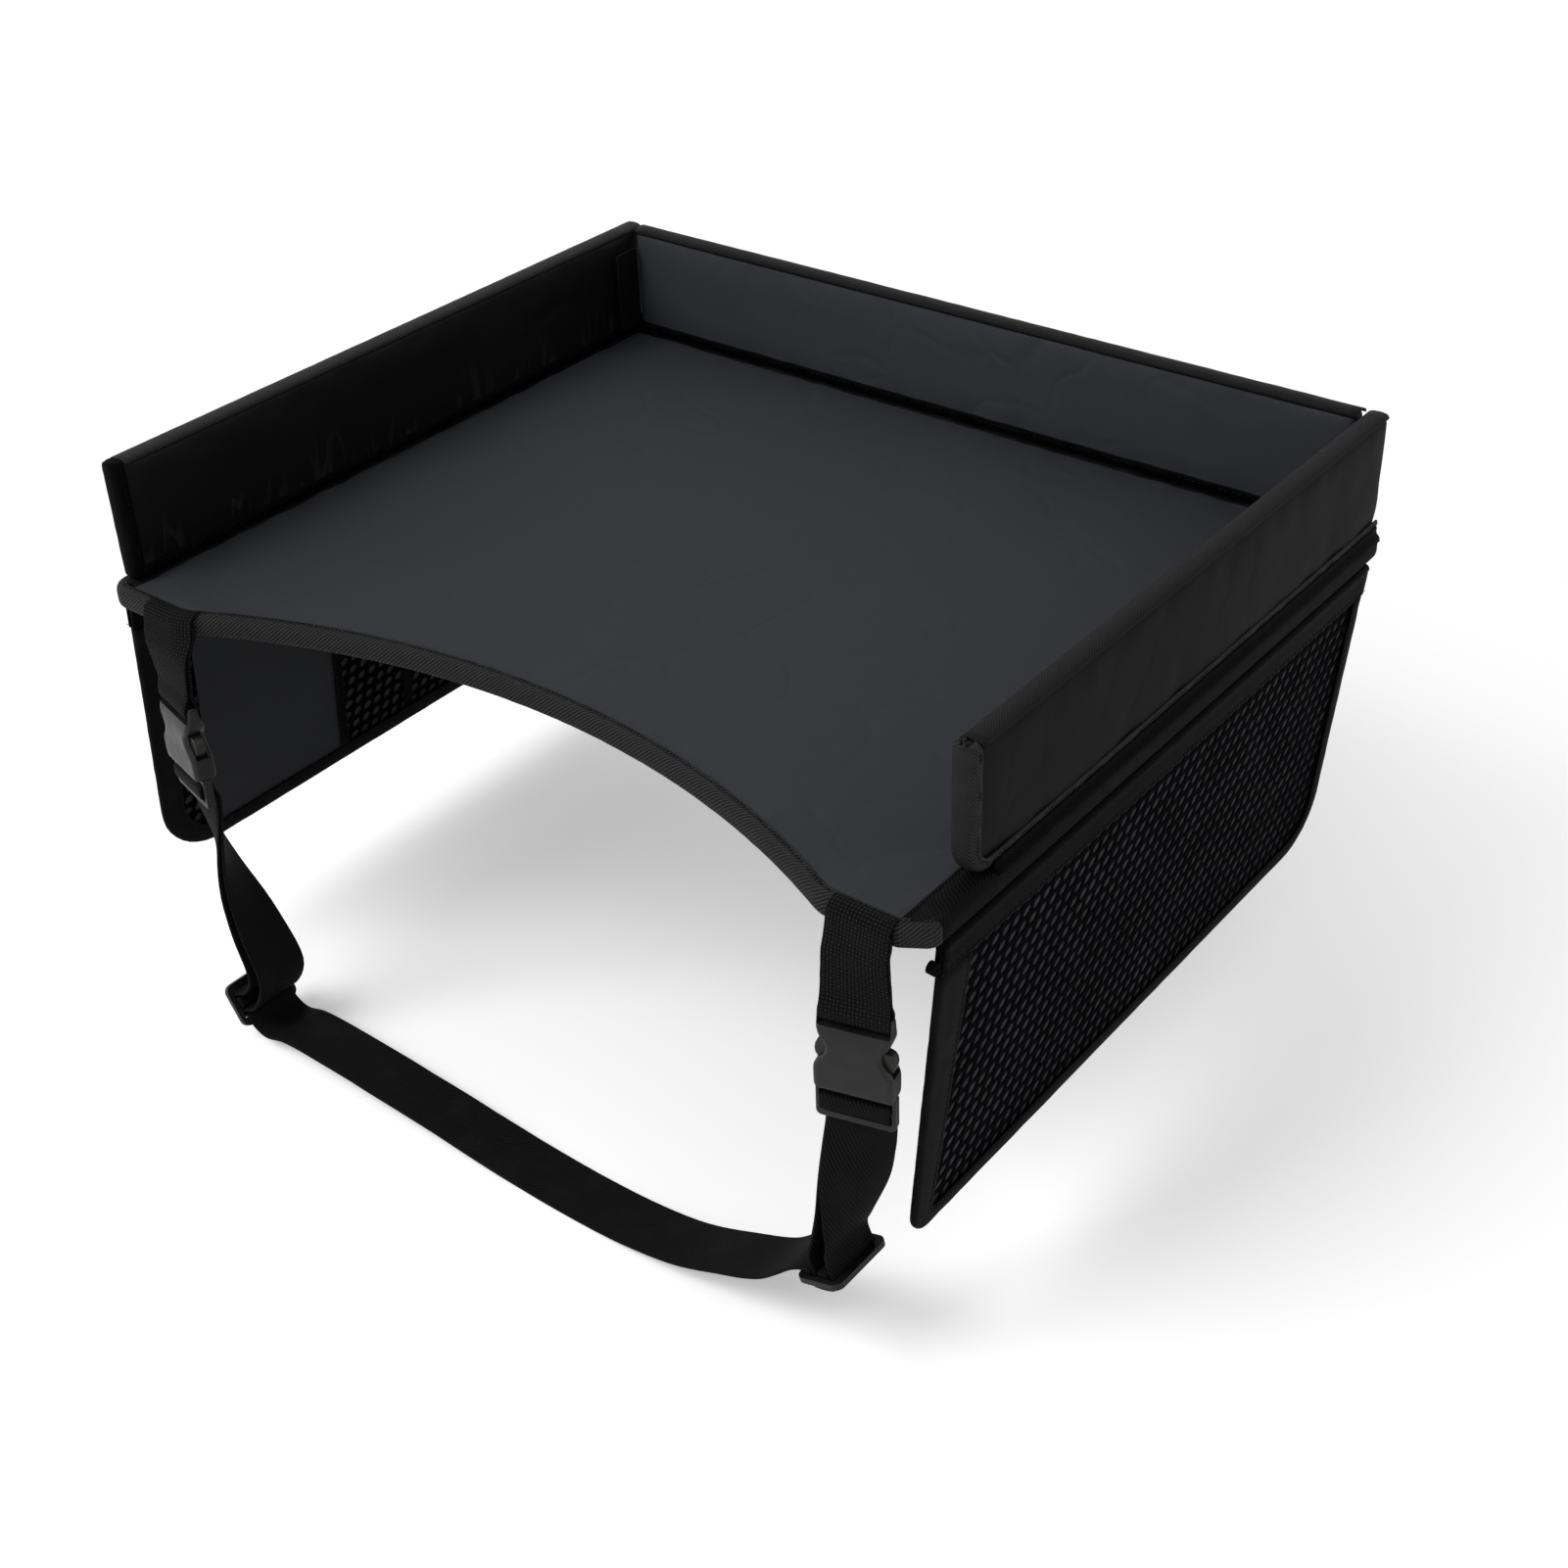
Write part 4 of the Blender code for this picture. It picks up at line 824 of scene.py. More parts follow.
def foldedTape(leg, half, thick, nose, dip=0.00022, lip=0.00006):
    near = nose * 0.3
    before, deepest, after = tapeForm["groove"]
    upper = [
        (leg, half - thick * 0.55),
        (leg - tapeForm["ease"], half - tapeForm["ease"] / 2),
        (leg - tapeForm["rise"], half + lip),
        (leg - before, half + lip),
        (leg - deepest, half - dip),
        (leg - after, half + lip),
        (leg * 0.5 + nose * 0.5, half + lip),
        (nose, half),
        (nose * 0.62, half - near * 0.35),
        (near, half - near),
        (near * 0.3, half - nose * 0.62),
        (0.0, half - nose),
    ]
    lower = [(inset, -height) for inset, height in reversed(upper)]
    bend = thick * 1.4
    inner = [(leg, thick - half), (bend, thick - half), (thick, bend - half)]
    return upper + [(0.0, 0.0)] + lower + inner + [(inset, -height) for inset, height in reversed(inner)]


def tapeOnTable(name, runAt, leg, material, kind, *nodes):
    section = foldedTape(leg, halfTable, edgeTapeLook["thick"], edgeTapeLook["nose"])
    runs = [runAt(inset) for inset, height in section]
    heights = [max(halfTable + height, 0.0) for inset, height in section]
    rings = [[(x, y, z) for (x, y), z in zip(station, heights)] for station in zip(*runs)]
    layTape(name, rings, material, kind, "table", *nodes)


edgeTapeLook = {"frontLeg": 0.005, "sideLeg": 0.0123, "thick": 0.0009, "nose": 0.003}
frontLeg = edgeTapeLook["frontLeg"]
tapeOnTable("frontEdgeTape", frontRun, frontLeg, frontTapeCloth, "front edge", "front_edge_binding")
nodes = [side + "_edge_binding" for side in ("left", "right", "back")]
tapeOnTable("sideAndBackEdgeTape", sideBackRun, edgeTapeLook["sideLeg"], edgeTape, "side edge", *nodes)
print("table edges taped")


# Tabletop: foam under smooth coated cloth, tucked under the tapes. The underside's lining is one flat sheet.
tabletopLook = {
    "sideInset": 0.0112,
    "frontInset": 0.004,
    "low": 0.0047,
    "top": 0.0098,
    "round": 0.0022,
    "edgeDrop": 0.0012,
    "pitch": 0.0065,
    "pressure": 1.2,
    "slack": 0.006,
    "cap": 0.0007,
}
liningLook = {
    "sideInset": 0.0112,
    "frontInset": 0.0044,
    "low": 0.0001,
    "top": 0.0009,
    "round": 0.0008,
    "edgeDrop": 0.0001,
    "pitch": 0.012,
}


def tableSheets(name, look, materials):
    half = tableShape["halfWidth"] - look["sideInset"]
    back = tableShape["halfDepth"] - look["sideInset"]
    run = frontRun(look["frontInset"])

    def depthsAt(x, share):
        front = heightAt(run, x)
        return front, front + (back - front) * share

    def sidesAt(x, share):
        front, y = depthsAt(x, share)
        distance = min(half - abs(x), y - front, back - y)
        drop = look["edgeDrop"] * (1.0 - rounded(distance, look["round"]))
        return (x, y, look["top"] - drop), (x, y, look["low"] + drop)

    def mapsAt(x, share):
        front, y = depthsAt(x, share)
        return {"cloth": (x, y), "seam": (x, y - front)}

    places = spread(-half, half, look["pitch"])
    shares = spread(0.0, 1.0, look["pitch"] / 0.3, (0.0, 0.0014, 0.004, 0.008, 0.014))
    return twoSheets(name, places, shares, sidesAt, mapsAt, materials)


tabletop, number = tableSheets("tabletopPad", tabletopLook, [tabletopCloth, underCloth])
lower = [index for (side, column, row), index in number.items() if side]
roughen(tabletop, "tabletop")
inflate(tabletop, lower + nearBorder(number, 2), tabletopLook)
smoothOnce(tabletop)
dress(tabletop, "table", "coated_cloth", "table_top_cover", "table_foam")
lining, number = tableSheets("undersideLining", liningLook, [underCloth, underCloth])
dress(lining, "table", "cloth", "table_bottom_lining")
print("table covered")


# Walls. Along a wall, a is the place along it, s the depth from its outer face, h the height over its hinge.
wallHinge = {"left": (-0.1975, 0, 0.01015), "right": (0.1975, 0, 0.01015), "back": (0, 0.1575, 0.01015)}


def onWall(side, a, s, h):
    x, y, z = wallHinge[side]
    if side == "back":
        return (x + a, y - s, z + h)
    return (x + (s if side == "left" else -s), y + a, z + h)


wallLook = {
    "thickness": 0.0098,
    "underTape": 0.0036,
    "full": 0.0044,
    "round": 0.0034,
    "tapeInset": 0.0012,
    "tapeLeg": 0.0055,
    "fade": 0.0095,
    "topCorner": 0.003,
    "pitch": 0.006,
    "pressure": 1.6,
    "slack": 0.004,
    "cap": 0.0006,
    "low": 0.00015,
    "high": 0.0515,
    "tapeThick": 0.0009,
    "nose": 0.0036,
    "tapeTops": ((0.0, 0.42), (0.0004, 0.66), (0.0011, 0.86), (0.0022, 0.97), (0.0036, 1.0)),
    "tapeOver": 0.0004,
    "tapeShort": 0.0012,
    "rimEnds": {True: (0.006, 0.0016), False: (0.0002, 0.0002)},
    "rimHalf": 0.0045,
    "rimSkin": ((1.0, -0.0014), (0.93, -0.0004), (0.7, 0.0002), (0.35, 0.0005), (0.0, 0.0006)),
    "rimThick": 0.0005,
}
# A bound wall has tape down its front edge too.
walls = {
    "left": {"front": -0.16, "rear": 0.157, "corner": 0.003, "bound": True, "inner": blackCloth},
    "right": {"front": -0.137, "rear": 0.157, "corner": 0.012, "bound": True, "inner": blackCloth},
    "back": {"front": -0.1868, "rear": 0.1868, "corner": 0.003, "bound": False, "inner": backWallCloth},
}
wallMiddle = wallLook["thickness"] / 2


def wallPad(side, wall):
    look = wallLook
    inset = look["tapeInset"]
    front = wall["front"] + (inset if wall["bound"] else 0.0)
    rear = wall["rear"]
    low = look["low"] + inset
    high = look["high"]
    corner = max(wall["corner"] - inset, 0.001)

    def cornerDrop(radius, distance):
        return radius - math.sqrt(max(radius**2 - max(0.0, radius - distance) ** 2, 0.0))

    def sidesAt(a, share):
        bottom = low + cornerDrop(corner, a - front)
        top = high - cornerDrop(look["topCorner"], min(a - front, rear - a))
        h = bottom + (top - bottom) * share
        boundGap = h - bottom
        freeGap = min(rear - a, top - h)
        if wall["bound"]:
            boundGap = min(boundGap, a - front)
        else:
            freeGap = min(freeGap, a - front)
        full = clamped((boundGap - look["tapeLeg"] + inset) / (look["fade"] - look["tapeLeg"]))
        thick = look["underTape"] + (look["full"] - look["underTape"]) * eased(full)
        thick *= rounded(freeGap, look["round"]) * rounded(boundGap + 0.0006, look["round"] * 0.6)
        return onWall(side, a, wallMiddle - thick, h), onWall(side, a, wallMiddle + thick, h)

    def mapsAt(a, share):
        spot = (a, share * (high - low))
        return {"cloth": spot, "seam": spot}

    places = spread(front, rear, look["pitch"])
    shares = spread(0.0, 1.0, look["pitch"] / (high - low), (0.0, 0.008, 0.024, 0.05, 0.09))
    cloths = [outerCloth, wall["inner"]]
    piece, number = twoSheets(side + "WallPad", places, shares, sidesAt, mapsAt, cloths)
    roughen(piece, "wall", len(side))
    inflate(piece, nearBorder(number, 3), look)
    smoothOnce(piece)
    dress(piece, side + "_wall", "cloth", side + "_wall_cover")


for side, wall in walls.items():
    wallPad(side, wall)
print("walls padded")


def wallRun(wall, inset, depth):
    # Down the front edge, round the corner and along the base, as place, depth and height.
    look = wallLook
    base = look["low"] + inset
    if not wall["bound"]:
        return [(a, depth, base) for a in evenly(wall["front"], wall["rear"], 60)]
    corner = max(wall["corner"] - inset, smallest)
    front = wall["front"] + inset
    high = look["high"] + look["tapeOver"]
    run = [(front, depth * share, high - drop) for drop, share in look["tapeTops"]]
    bend = arcPoints(front + corner, base + corner, corner, 180, 270, 8)
    run += [(front, depth, h) for h in evenly(run[-1][2], bend[0][1], 9)[1:-1]]
    run += [(a, depth, h) for a, h in bend]
    return run + [(a, depth, base) for a in evenly(bend[-1][0], wall["rear"] - look["tapeShort"], 48)[1:]]


def wallTape(side, wall):
    look = wallLook
    section = foldedTape(look["tapeLeg"], wallMiddle, look["tapeThick"], look["nose"], 0.0003, 0.0)
    runs = [wallRun(wall, inset, depth) for inset, depth in section]
    rings = [[onWall(side, a, wallMiddle - depth, h) for a, depth, h in station] for station in zip(*runs)]
    material = wallTapeCloth if side == "right" else darkTape
    name, body = side + "WallEdgeTape", side + "_wall"
    layTape(name, rings, material, "wall tape", body, body + "_binding", more=len(side))


def rimStrip(side, wall):
    # The strip of tape that covers a wall's rim, from its front tape to its rear corner.
    look = wallLook
    first, last = look["rimEnds"][wall["bound"]]
    outer = mirrored([(look["rimHalf"] * share, rise) for share, rise in look["rimSkin"]])
    section = outer + [(across * 0.94, rise - look["rimThick"]) for across, rise in reversed(outer)]
    rings = []
    for a in evenly(wall["front"] + first, wall["rear"] - last, 70):
        rings.append([onWall(side, a, wallMiddle + across, look["high"] + rise) for across, rise in section])
    material = rimTape if side == "left" else darkRim
    layTape(side + "RimTape", rings, material, "rim", side + "_wall")


def pathSides(path, thick):
    # Half a strip's thickness, across its path at each of its places.
    sides = []
    for index in range(len(path)):
        along = (path[min(index + 1, len(path) - 1)] - path[max(index - 1, 0)]).normalized()
        sides.append(Vector((-along.y, along.x)) * thick / 2)
    return sides


def clothStrip(name, section, thick, placeOf, stations):
    # A flat strip of cloth: its section as pairs, thickened, and laid along the stations.
    path = [Vector(pair) for pair in section]
    sides = pathSides(path, thick)
    outline = [point + side for point, side in zip(path, sides)]
    outline += [point - side for point, side in reversed(list(zip(path, sides)))]
    rings = [[placeOf(station, first, second) for first, second in outline] for station in stations]
    piece = sweptPiece(name, rings, darkTape)
    return piece


hingeLook = {
    "wallThick": 0.00045,
    "wallDepths": (-0.0021, -0.0019, -0.0012, -0.0004, -0.0002, -0.0002, -0.0001),
    "wallHeights": (-0.003, -0.0016, -0.0006, 0.0001, 0.001, 0.002, 0.0031),
    "wallBend": (-0.0006, 0.0012),
    "wallEnds": (0.0005, 0.0018),
    "flapThick": 0.0006,
    "flapHeights": (-0.0044, -0.003, -0.0015, 0.0, 0.0015, 0.0034),
    "flapBend": (0.0026, -0.003),
    "flapEnd": 0.002,
}


def hingeOnWall(side, wall):
    # The cloth that joins a wall's outer face to the table's edge.
    def placeOf(a, s, h):
        return onWall(side, a, s, h)

    first, last = hingeLook["wallEnds"]
    stations = evenly(wall["front"] + wall["corner"] + first, wall["rear"] - last, 60)
    section = zip(hingeLook["wallDepths"], hingeLook["wallHeights"])
    piece = clothStrip(side + "WallHinge", section, hingeLook["wallThick"], placeOf, stations)
    start, end = (onWall(side, 0.0, 0.0, h) for h in hingeLook["wallBend"])
    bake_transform(piece)
    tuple(start)
    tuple(end)


for side, wall in walls.items():
    wallTape(side, wall)
    rimStrip(side, wall)
    hingeOnWall(side, wall)
print("walls taped")


# Hanging flaps. On a flap, y is the place along it, u the depth below its hinge, t the distance outwards.
flapShape = {
    "hingeX": 0.198,
    "hingeZ": -0.0023,
    "lean": 5.0,
    "back": 0.148,
    "drop": 0.13622,
    "hem": 0.012,
    "half": 0.0017,
    "thick": 0.0006,
    "frontLegTop": 0.018,
    "frontLegLow": 0.011,
    "leg": 0.0075,
    "backRadius": 0.024,
    "bead": 0.002,
    "seamGap": 0.0003,
}
flaps = {
    "left": {"sign": -1.0, "frontRadius": 0.028, "front": -0.16},
    "right": {"sign": 1.0, "frontRadius": 0.01, "front": -0.155},
}


def onFlap(side, y, u, t):
    sign = flaps[side]["sign"]
    lean = math.radians(flapShape["lean"])
    x = sign * t * math.cos(lean) - u * math.sin(lean)
    z = -sign * t * math.sin(lean) - u * math.cos(lean)
    return (sign * flapShape["hingeX"] + x, y, flapShape["hingeZ"] + z)


def flapMatrix(side):
    start = Vector(onFlap(side, 0.0, 0.0, 0.0))
    turn = [Vector(onFlap(side, *way)) - start for way in ((1, 0, 0), (0, 1, 0), (0, 0, 1))]
    return Matrix.Translation(start) @ Matrix(turn).transposed().to_4x4()


def flapRun(side, inset, frontInset=None):
    # Down a flap's front end, along its lower edge and up its back end, at a distance in from its edge.
    shape = flapShape
    frontTop, frontLow = frontInset or (inset, inset)
    front = flaps[side]["front"]
    top = shape["hem"] + shape["seamGap"]
    frontRadius = max(flaps[side]["frontRadius"] - inset, smallest)
    backRadius = max(shape["backRadius"] - inset, smallest)
    low = shape["drop"] - inset
    right = shape["back"] - inset
    frontBend = arcPoints(front + frontLow + frontRadius, low - frontRadius, frontRadius, 180, 90, 10)
    backBend = arcPoints(right - backRadius, low - backRadius, backRadius, 90, 0, 10)
    first = (front + frontTop, top)
    last = (right, top)
    points = [first] + between(first, frontBend[0], 24) + frontBend
    points += between(frontBend[-1], backBend[0], 44) + backBend
    return points + between(backBend[-1], last, 20) + [last]


def flapEdgeTape(side):
    shape = flapShape
    half, thick = shape["half"], shape["thick"]
    before, deepest, after = tapeForm["groove"]
    # Each place is measured in from the leg's end, as a share of the tape's width, or in from the edge.
    outer = [
        ("leg", 0.0, half - thick * 0.6),
        ("leg", tapeForm["ease"], half),
        ("leg", before, half + 0.00005),
        ("leg", deepest, half - 0.0002),
        ("leg", after, half + 0.00005),
        ("middle", 0.5, half),
        ("edge", 0.0026, half),
        ("edge", 0.0013, half * 0.93),
        ("edge", 0.0005, half * 0.72),
        ("edge", 0.0001, half * 0.38),
        ("edge", 0.0, 0.0),
    ]
    outer += [(kind, value, -t) for kind, value, t in reversed(outer[:-1])]
    inner = [("leg", 0.0, thick - half), ("edge", thick * 1.5, thick - half)]
    inner += [(kind, value, -t) for kind, value, t in reversed(inner)]
    leg = flapRun(side, shape["leg"], (shape["frontLegTop"], shape["frontLegLow"]))
    rings = []
    for first, last in zip(flapRun(side, 0.0), leg):
        length = math.dist(first, last)
        ring = []
        for kind, value, t in outer + inner:
            share = {"edge": value / length, "leg": 1.0 - value / length, "middle": value}[kind]
            y, u = (start + (end - start) * share for start, end in zip(first, last))
            ring.append(onFlap(side, y, u, t))
        rings.append(ring)
    layTape(side + "FlapEdgeTape", rings, flapTape, "flap tape", side + "_flap", side + "_flap_binding")


def flapHem(side):
    # The hem hangs round a bead, and its two legs hold the top of the flap's cloths.
    shape = flapShape
    half, bead, low = shape["half"], shape["bead"], shape["hem"]
    before, deepest, after = tapeForm["groove"]
    wall = half - shape["thick"]
    roof = bead + shape["thick"] + shape["seamGap"]
    start = math.degrees(math.acos(half / bead))
    leg = [(half - shape["thick"] * 0.6, low), (half, low - tapeForm["ease"]), (half, low - before + 0.0001)]
    leg += [(half - 0.0002, low - deepest + 0.0001), (half, low - after + 0.0001), (half, roof + 0.002)]
    outer = leg + arcPoints(0.0, 0.0, bead, start, -180 - start, 16) + [(-t, u) for t, u in reversed(leg)]
    inner = [(-wall, low), (-wall, roof), (wall, roof), (wall, low)]
    stations = evenly(flaps[side]["front"], shape["back"], 90)
    rings = [[onFlap(side, y, u, t) for t, u in outer + inner] for y in stations]
    layTape(side + "FlapHem", rings, darkTape, "hem", side + "_flap", side + "_flap_hem")


def hingeOnFlap(side):
    # The cloth that hangs the hem from the table's edge.
    def placeOf(y, t, u):
        return onFlap(side, y, u, t)

    end = hingeLook["flapEnd"]
    stations = evenly(flaps[side]["front"] + end, flapShape["back"] - end, 60)
    section = [(0.0, height) for height in hingeLook["flapHeights"]]
    piece = clothStrip(side + "FlapHinge", section, hingeLook["flapThick"], placeOf, stations)
    x = flaps[side]["sign"] * flapShape["hingeX"]
    start, end = ((x, 0.0, flapShape["hingeZ"] + rise) for rise in hingeLook["flapBend"])
    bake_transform(piece)
    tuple(start)
    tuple(end)


tailLook = {
    "middle": 0.0032,
    "depth": 0.006,
    "radius": 0.0024,
    "inner": 0.0006,
    "turns": 2.2,
    "start": 70.0,
    "thick": 0.00055,
    "half": 0.0016,
    "lead": (0.002, -0.001),
}


def hemTail():
    # The hem's tape ends in a small roll in front of the right flap.
    look = tailLook
    front = flaps["right"]["front"]
    middle = Vector((front - look["middle"], look["depth"]))
    path = [Vector((front + ahead, look["depth"] + look["radius"])) for ahead in look["lead"]]
    turns = evenly(look["start"], look["start"] + 360 * look["turns"], 44)
    for angle, radius in zip(turns, evenly(look["radius"], look["inner"], 44)):
        path.append(middle + Vector((math.cos(math.radians(angle)), math.sin(math.radians(angle)))) * radius)
    corners = [(1.0, -0.9), (1.0, 0.9), (0.5, 1.0), (-0.5, 1.0)]
    corners += [(-rise, -across) for rise, across in corners]
    rings = []
    for point, out in zip(path, pathSides(path, look["thick"])):
        places = [(*(point + out * rise), across * look["half"]) for rise, across in corners]
        rings.append([onFlap("right", y, u, t) for y, u, t in places])
    dress(sweptPiece("rightHemTail", rings, darkTape), "right_flap", "twill_tape", "right_flap_tape_tail")


# Geometry Nodes. A group works on a small starting mesh, and its result is the piece.
def shapeNode(tree, kind, inputs, settings=None):
    return addNode(tree, "GeometryNode" + kind, settings, inputs).outputs


def gridOf(tree, given, sizeX, sizeY):
    inputs = {"Size X": given[sizeX], "Size Y": given[sizeY], "Vertices X": given["Columns"]}
    return shapeNode(tree, "MeshGrid", {**inputs, "Vertices Y": given["Rows"]})[0]


def endShape(tree, given, shape, smooth):
    shape = shapeNode(tree, "RealizeInstances", {0: shape})[0]
    if smooth:
        shape = shapeNode(tree, "SetShadeSmooth", {0: shape})[0]
    painted = shapeNode(tree, "SetMaterial", {"Geometry": shape, "Material": given["Material"]})[0]
    return endGroup(tree, Geometry=painted)


def runNodes(piece, tree, inputs):
    modifier = addModifier(piece, "NODES", node_group=tree)
    for item in tree.interface.items_tree:
        if item.name in inputs:
            modifier[item.identifier] = inputs[item.name]
    return bake(piece)


def seedPiece(name, material):
    return meshPiece(name, [origin, (0.001, 0.0, 0.0), (0.0, 0.001, 0.0)], [(0, 1, 2)], [material])


# Net: a sheared grid of openings, each closed in by four bars that are then rounded and thickened.
netInputs = {
    "Length": 0.3,
    "Depth": 0.13,
    "Columns": 50,
    "Rows": 22,
    "Row shift": -0.0015,
    "Half size": (0.1, 0.05, 0.0),
    "Front radius": 0.01,
    "Back radius": 0.02,
    "Bar share": 0.79,
    "Thickness": 0.00032,
    "Material": netCord,
}
netLook = {
    "pitchAlong": 0.0064,
    "pitchDown": 0.006,
    "solid": 0.62,
    "hidden": 0.0034,
    "level": 0.00006,
    "merge": 0.00005,
}


def netTree():
    tree, given = startGroup("Knitted net", netInputs, "GeometryNodeTree")
    grid = gridOf(tree, given, "Length", "Depth")
    place = shapeNode(tree, "InputPosition", {})[0]
    rowPitch = calc(tree, "DIVIDE", given["Depth"], calc(tree, "SUBTRACT", given["Rows"], 1.0))
    x, y, z = partsOf(tree, place)
    slide = calc(tree, "MULTIPLY", calc(tree, "DIVIDE", y, rowPitch), given["Row shift"])
    shifted = shapeNode(tree, "SetPosition", {"Geometry": grid, "Offset": vectorOf(tree, x=slide)})[0]
    # Only the openings inside the flap's rounded outline stay.
    isBack = calc(tree, "GREATER_THAN", x, 0.0)
    isLow = calc(tree, "GREATER_THAN", y, 0.0)
    ofEnd = blendValue(tree, isBack, given["Front radius"], given["Back radius"])
    radius = calc(tree, "MULTIPLY", ofEnd, isLow)
    away = vectorCalc(tree, "ABSOLUTE", place)
    spare = partsOf(tree, vectorCalc(tree, "SUBTRACT", away, given["Half size"]))
    over = [calc(tree, "MAXIMUM", calc(tree, "ADD", spare[axis], radius), 0.0) for axis in ("X", "Y")]
    beyond = vectorCalc(tree, "LENGTH", vectorOf(tree, *over))
    outside = calc(tree, "GREATER_THAN", calc(tree, "SUBTRACT", beyond, radius), 0.0)
    onFaces = {"domain": "FACE"}
    cut = shapeNode(tree, "DeleteGeometry", {"Geometry": shifted, "Selection": outside}, onFaces)[0]
    apart = {"Mesh": cut, "Offset Scale": 0.0, "Individual": True}
    extruded = shapeNode(tree, "ExtrudeMesh", apart, {"mode": "FACES"})
    top = {"Geometry": extruded["Mesh"], "Selection": extruded["Top"], "Scale": given["Bar share"]}
    shrunk = shapeNode(tree, "ScaleElements", top, onFaces)[0]
    holed = shapeNode(tree, "DeleteGeometry", {"Geometry": shrunk, "Selection": extruded["Top"]}, onFaces)[0]
    merge = netLook["merge"]
    joined = shapeNode(tree, "MergeByDistance", {"Geometry": holed, "Distance": merge})[0]
    rise = {"Mesh": joined, "Offset": (0.0, 0.0, 1.0), "Offset Scale": given["Thickness"]}
    thick = shapeNode(tree, "ExtrudeMesh", {**rise, "Individual": False}, {"mode": "FACES"})["Mesh"]
    both = tree.nodes.new("GeometryNodeJoinGeometry")
    for part in (shapeNode(tree, "FlipFaces", {"Mesh": joined})[0], thick):
        tree.links.new(part, both.inputs[0])
    closed = shapeNode(tree, "MergeByDistance", {"Geometry": both.outputs[0], "Distance": merge})[0]
    soft = shapeNode(tree, "SubdivisionSurface", {"Mesh": closed, "Level": 1})[0]
    return endShape(tree, given, soft, True)


netNodes = netTree()


def flapNet(side):
    shape, look = flapShape, netLook
    left = flaps[side]["front"] + shape["frontLegLow"] - look["hidden"]
    right, high, low = (shape[edge] - look["hidden"] for edge in ("back", "hem", "drop"))
    columns = round((right - left) / look["pitchAlong"]) + 12
    rows = round((low - high) / look["pitchDown"]) + 3
    values = {
        "Length": columns * look["pitchAlong"],
        "Depth": rows * look["pitchDown"],
        "Columns": columns + 1,
        "Rows": rows + 1,
        "Half size": ((right - left) / 2, (low - high) / 2, 0.0),
        "Front radius": flaps[side]["frontRadius"],
        "Back radius": shape["backRadius"],
    }
    net = runNodes(seedPiece(side + "FlapNet", netCord), netNodes, {**netInputs, **values})
    centre = ((left + right) / 2, (high + low) / 2, look["level"])
    net.data.transform(flapMatrix(side) @ Matrix.Translation(centre))
    roughen(net, "net")
    dress(net, side + "_flap", "net", side + "_flap_net")
    print(side, "net has", len(net.data.polygons), "faces")


def flapDepth(side, inset):
    # The depth of a flap's lower outline, at any place along it.
    low = flapShape["drop"] - inset
    frontRadius = max(flaps[side]["frontRadius"] - inset, smallest)
    backRadius = max(flapShape["backRadius"] - inset, smallest)
    left = flaps[side]["front"] + inset + frontRadius
    right = flapShape["back"] - inset - backRadius

    def depthAt(y):
        radius, over = (frontRadius, left - y) if y < left else (backRadius, max(y - right, 0.0))
        return low - radius + math.sqrt(radius**2 - min(over, radius) ** 2)

    return depthAt


clothLook = {
    "top": 0.0032,
    "inset": 0.0012,
    "pitch": 0.008,
    "mapDepth": 0.13,
    "lining": (-0.0007, -0.0002),
    "backing": (0.0009, 0.0013),
    "pocket": (-0.133, -0.055),
}


def clothOnFlap(name, side, along, depthAt, levels, material, flat, *nodes):
    # along gives the first and last place along the flap, levels the cloth's outer sides.
    look = clothLook
    top = look["top"]

    def sidesAt(y, share):
        u = top + (depthAt(y) - top) * share
        return onFlap(side, y, u, levels[1]), onFlap(side, y, u, levels[0])

    def mapsAt(y, share):
        return {"cloth": (y, share * look["mapDepth"])}

    places = spread(*along, look["pitch"], (0.0, 0.0008, 0.003))
    shares = spread(0.0, 1.0, look["pitch"] / (depthAt(sum(along) / 2) - top), (0.0, 0.006, 0.024))
    piece, number = twoSheets(name, places, shares, sidesAt, mapsAt, [material])
    roughen(piece, "flap cloth", len(name))
    dress(piece, side + "_flap", "cloth", *nodes)


for side in flaps:
    flapEdgeTape(side)
    flapHem(side)
    hingeOnFlap(side)
    flapNet(side)
hemTail()

inset = clothLook["inset"]
ends = {side: (flaps[side]["front"] + inset, flapShape["back"] - inset) for side in flaps}
depths = {side: flapDepth(side, inset) for side in flaps}
sheet = (ends["right"], depths["right"], clothLook["lining"], liningCloth, (0.3006, 0.1318))
clothOnFlap("rightFlapLining", "right", *sheet, "right_flap_lining")
sheet = (ends["left"], depths["left"], clothLook["backing"], liningCloth, (0.3056, 0.1318))
clothOnFlap("leftFlapBacking", "left", *sheet)


def pocketDepth(y):
    return flapShape["drop"] - flapShape["leg"] * 0.5


sheet = (clothLook["pocket"], pocketDepth, clothLook["lining"], pocketCloth, (0.078, 0.1293))
clothOnFlap("leftFlapPocket", "left", *sheet, "left_flap_pocket")

# Two upright tapes on the left flap: their place along it and their two levels.
uprightTapes = {"Pocket": (-0.055, -0.00165, -0.00105), "Divider": (-0.012, -0.00075, -0.00015)}


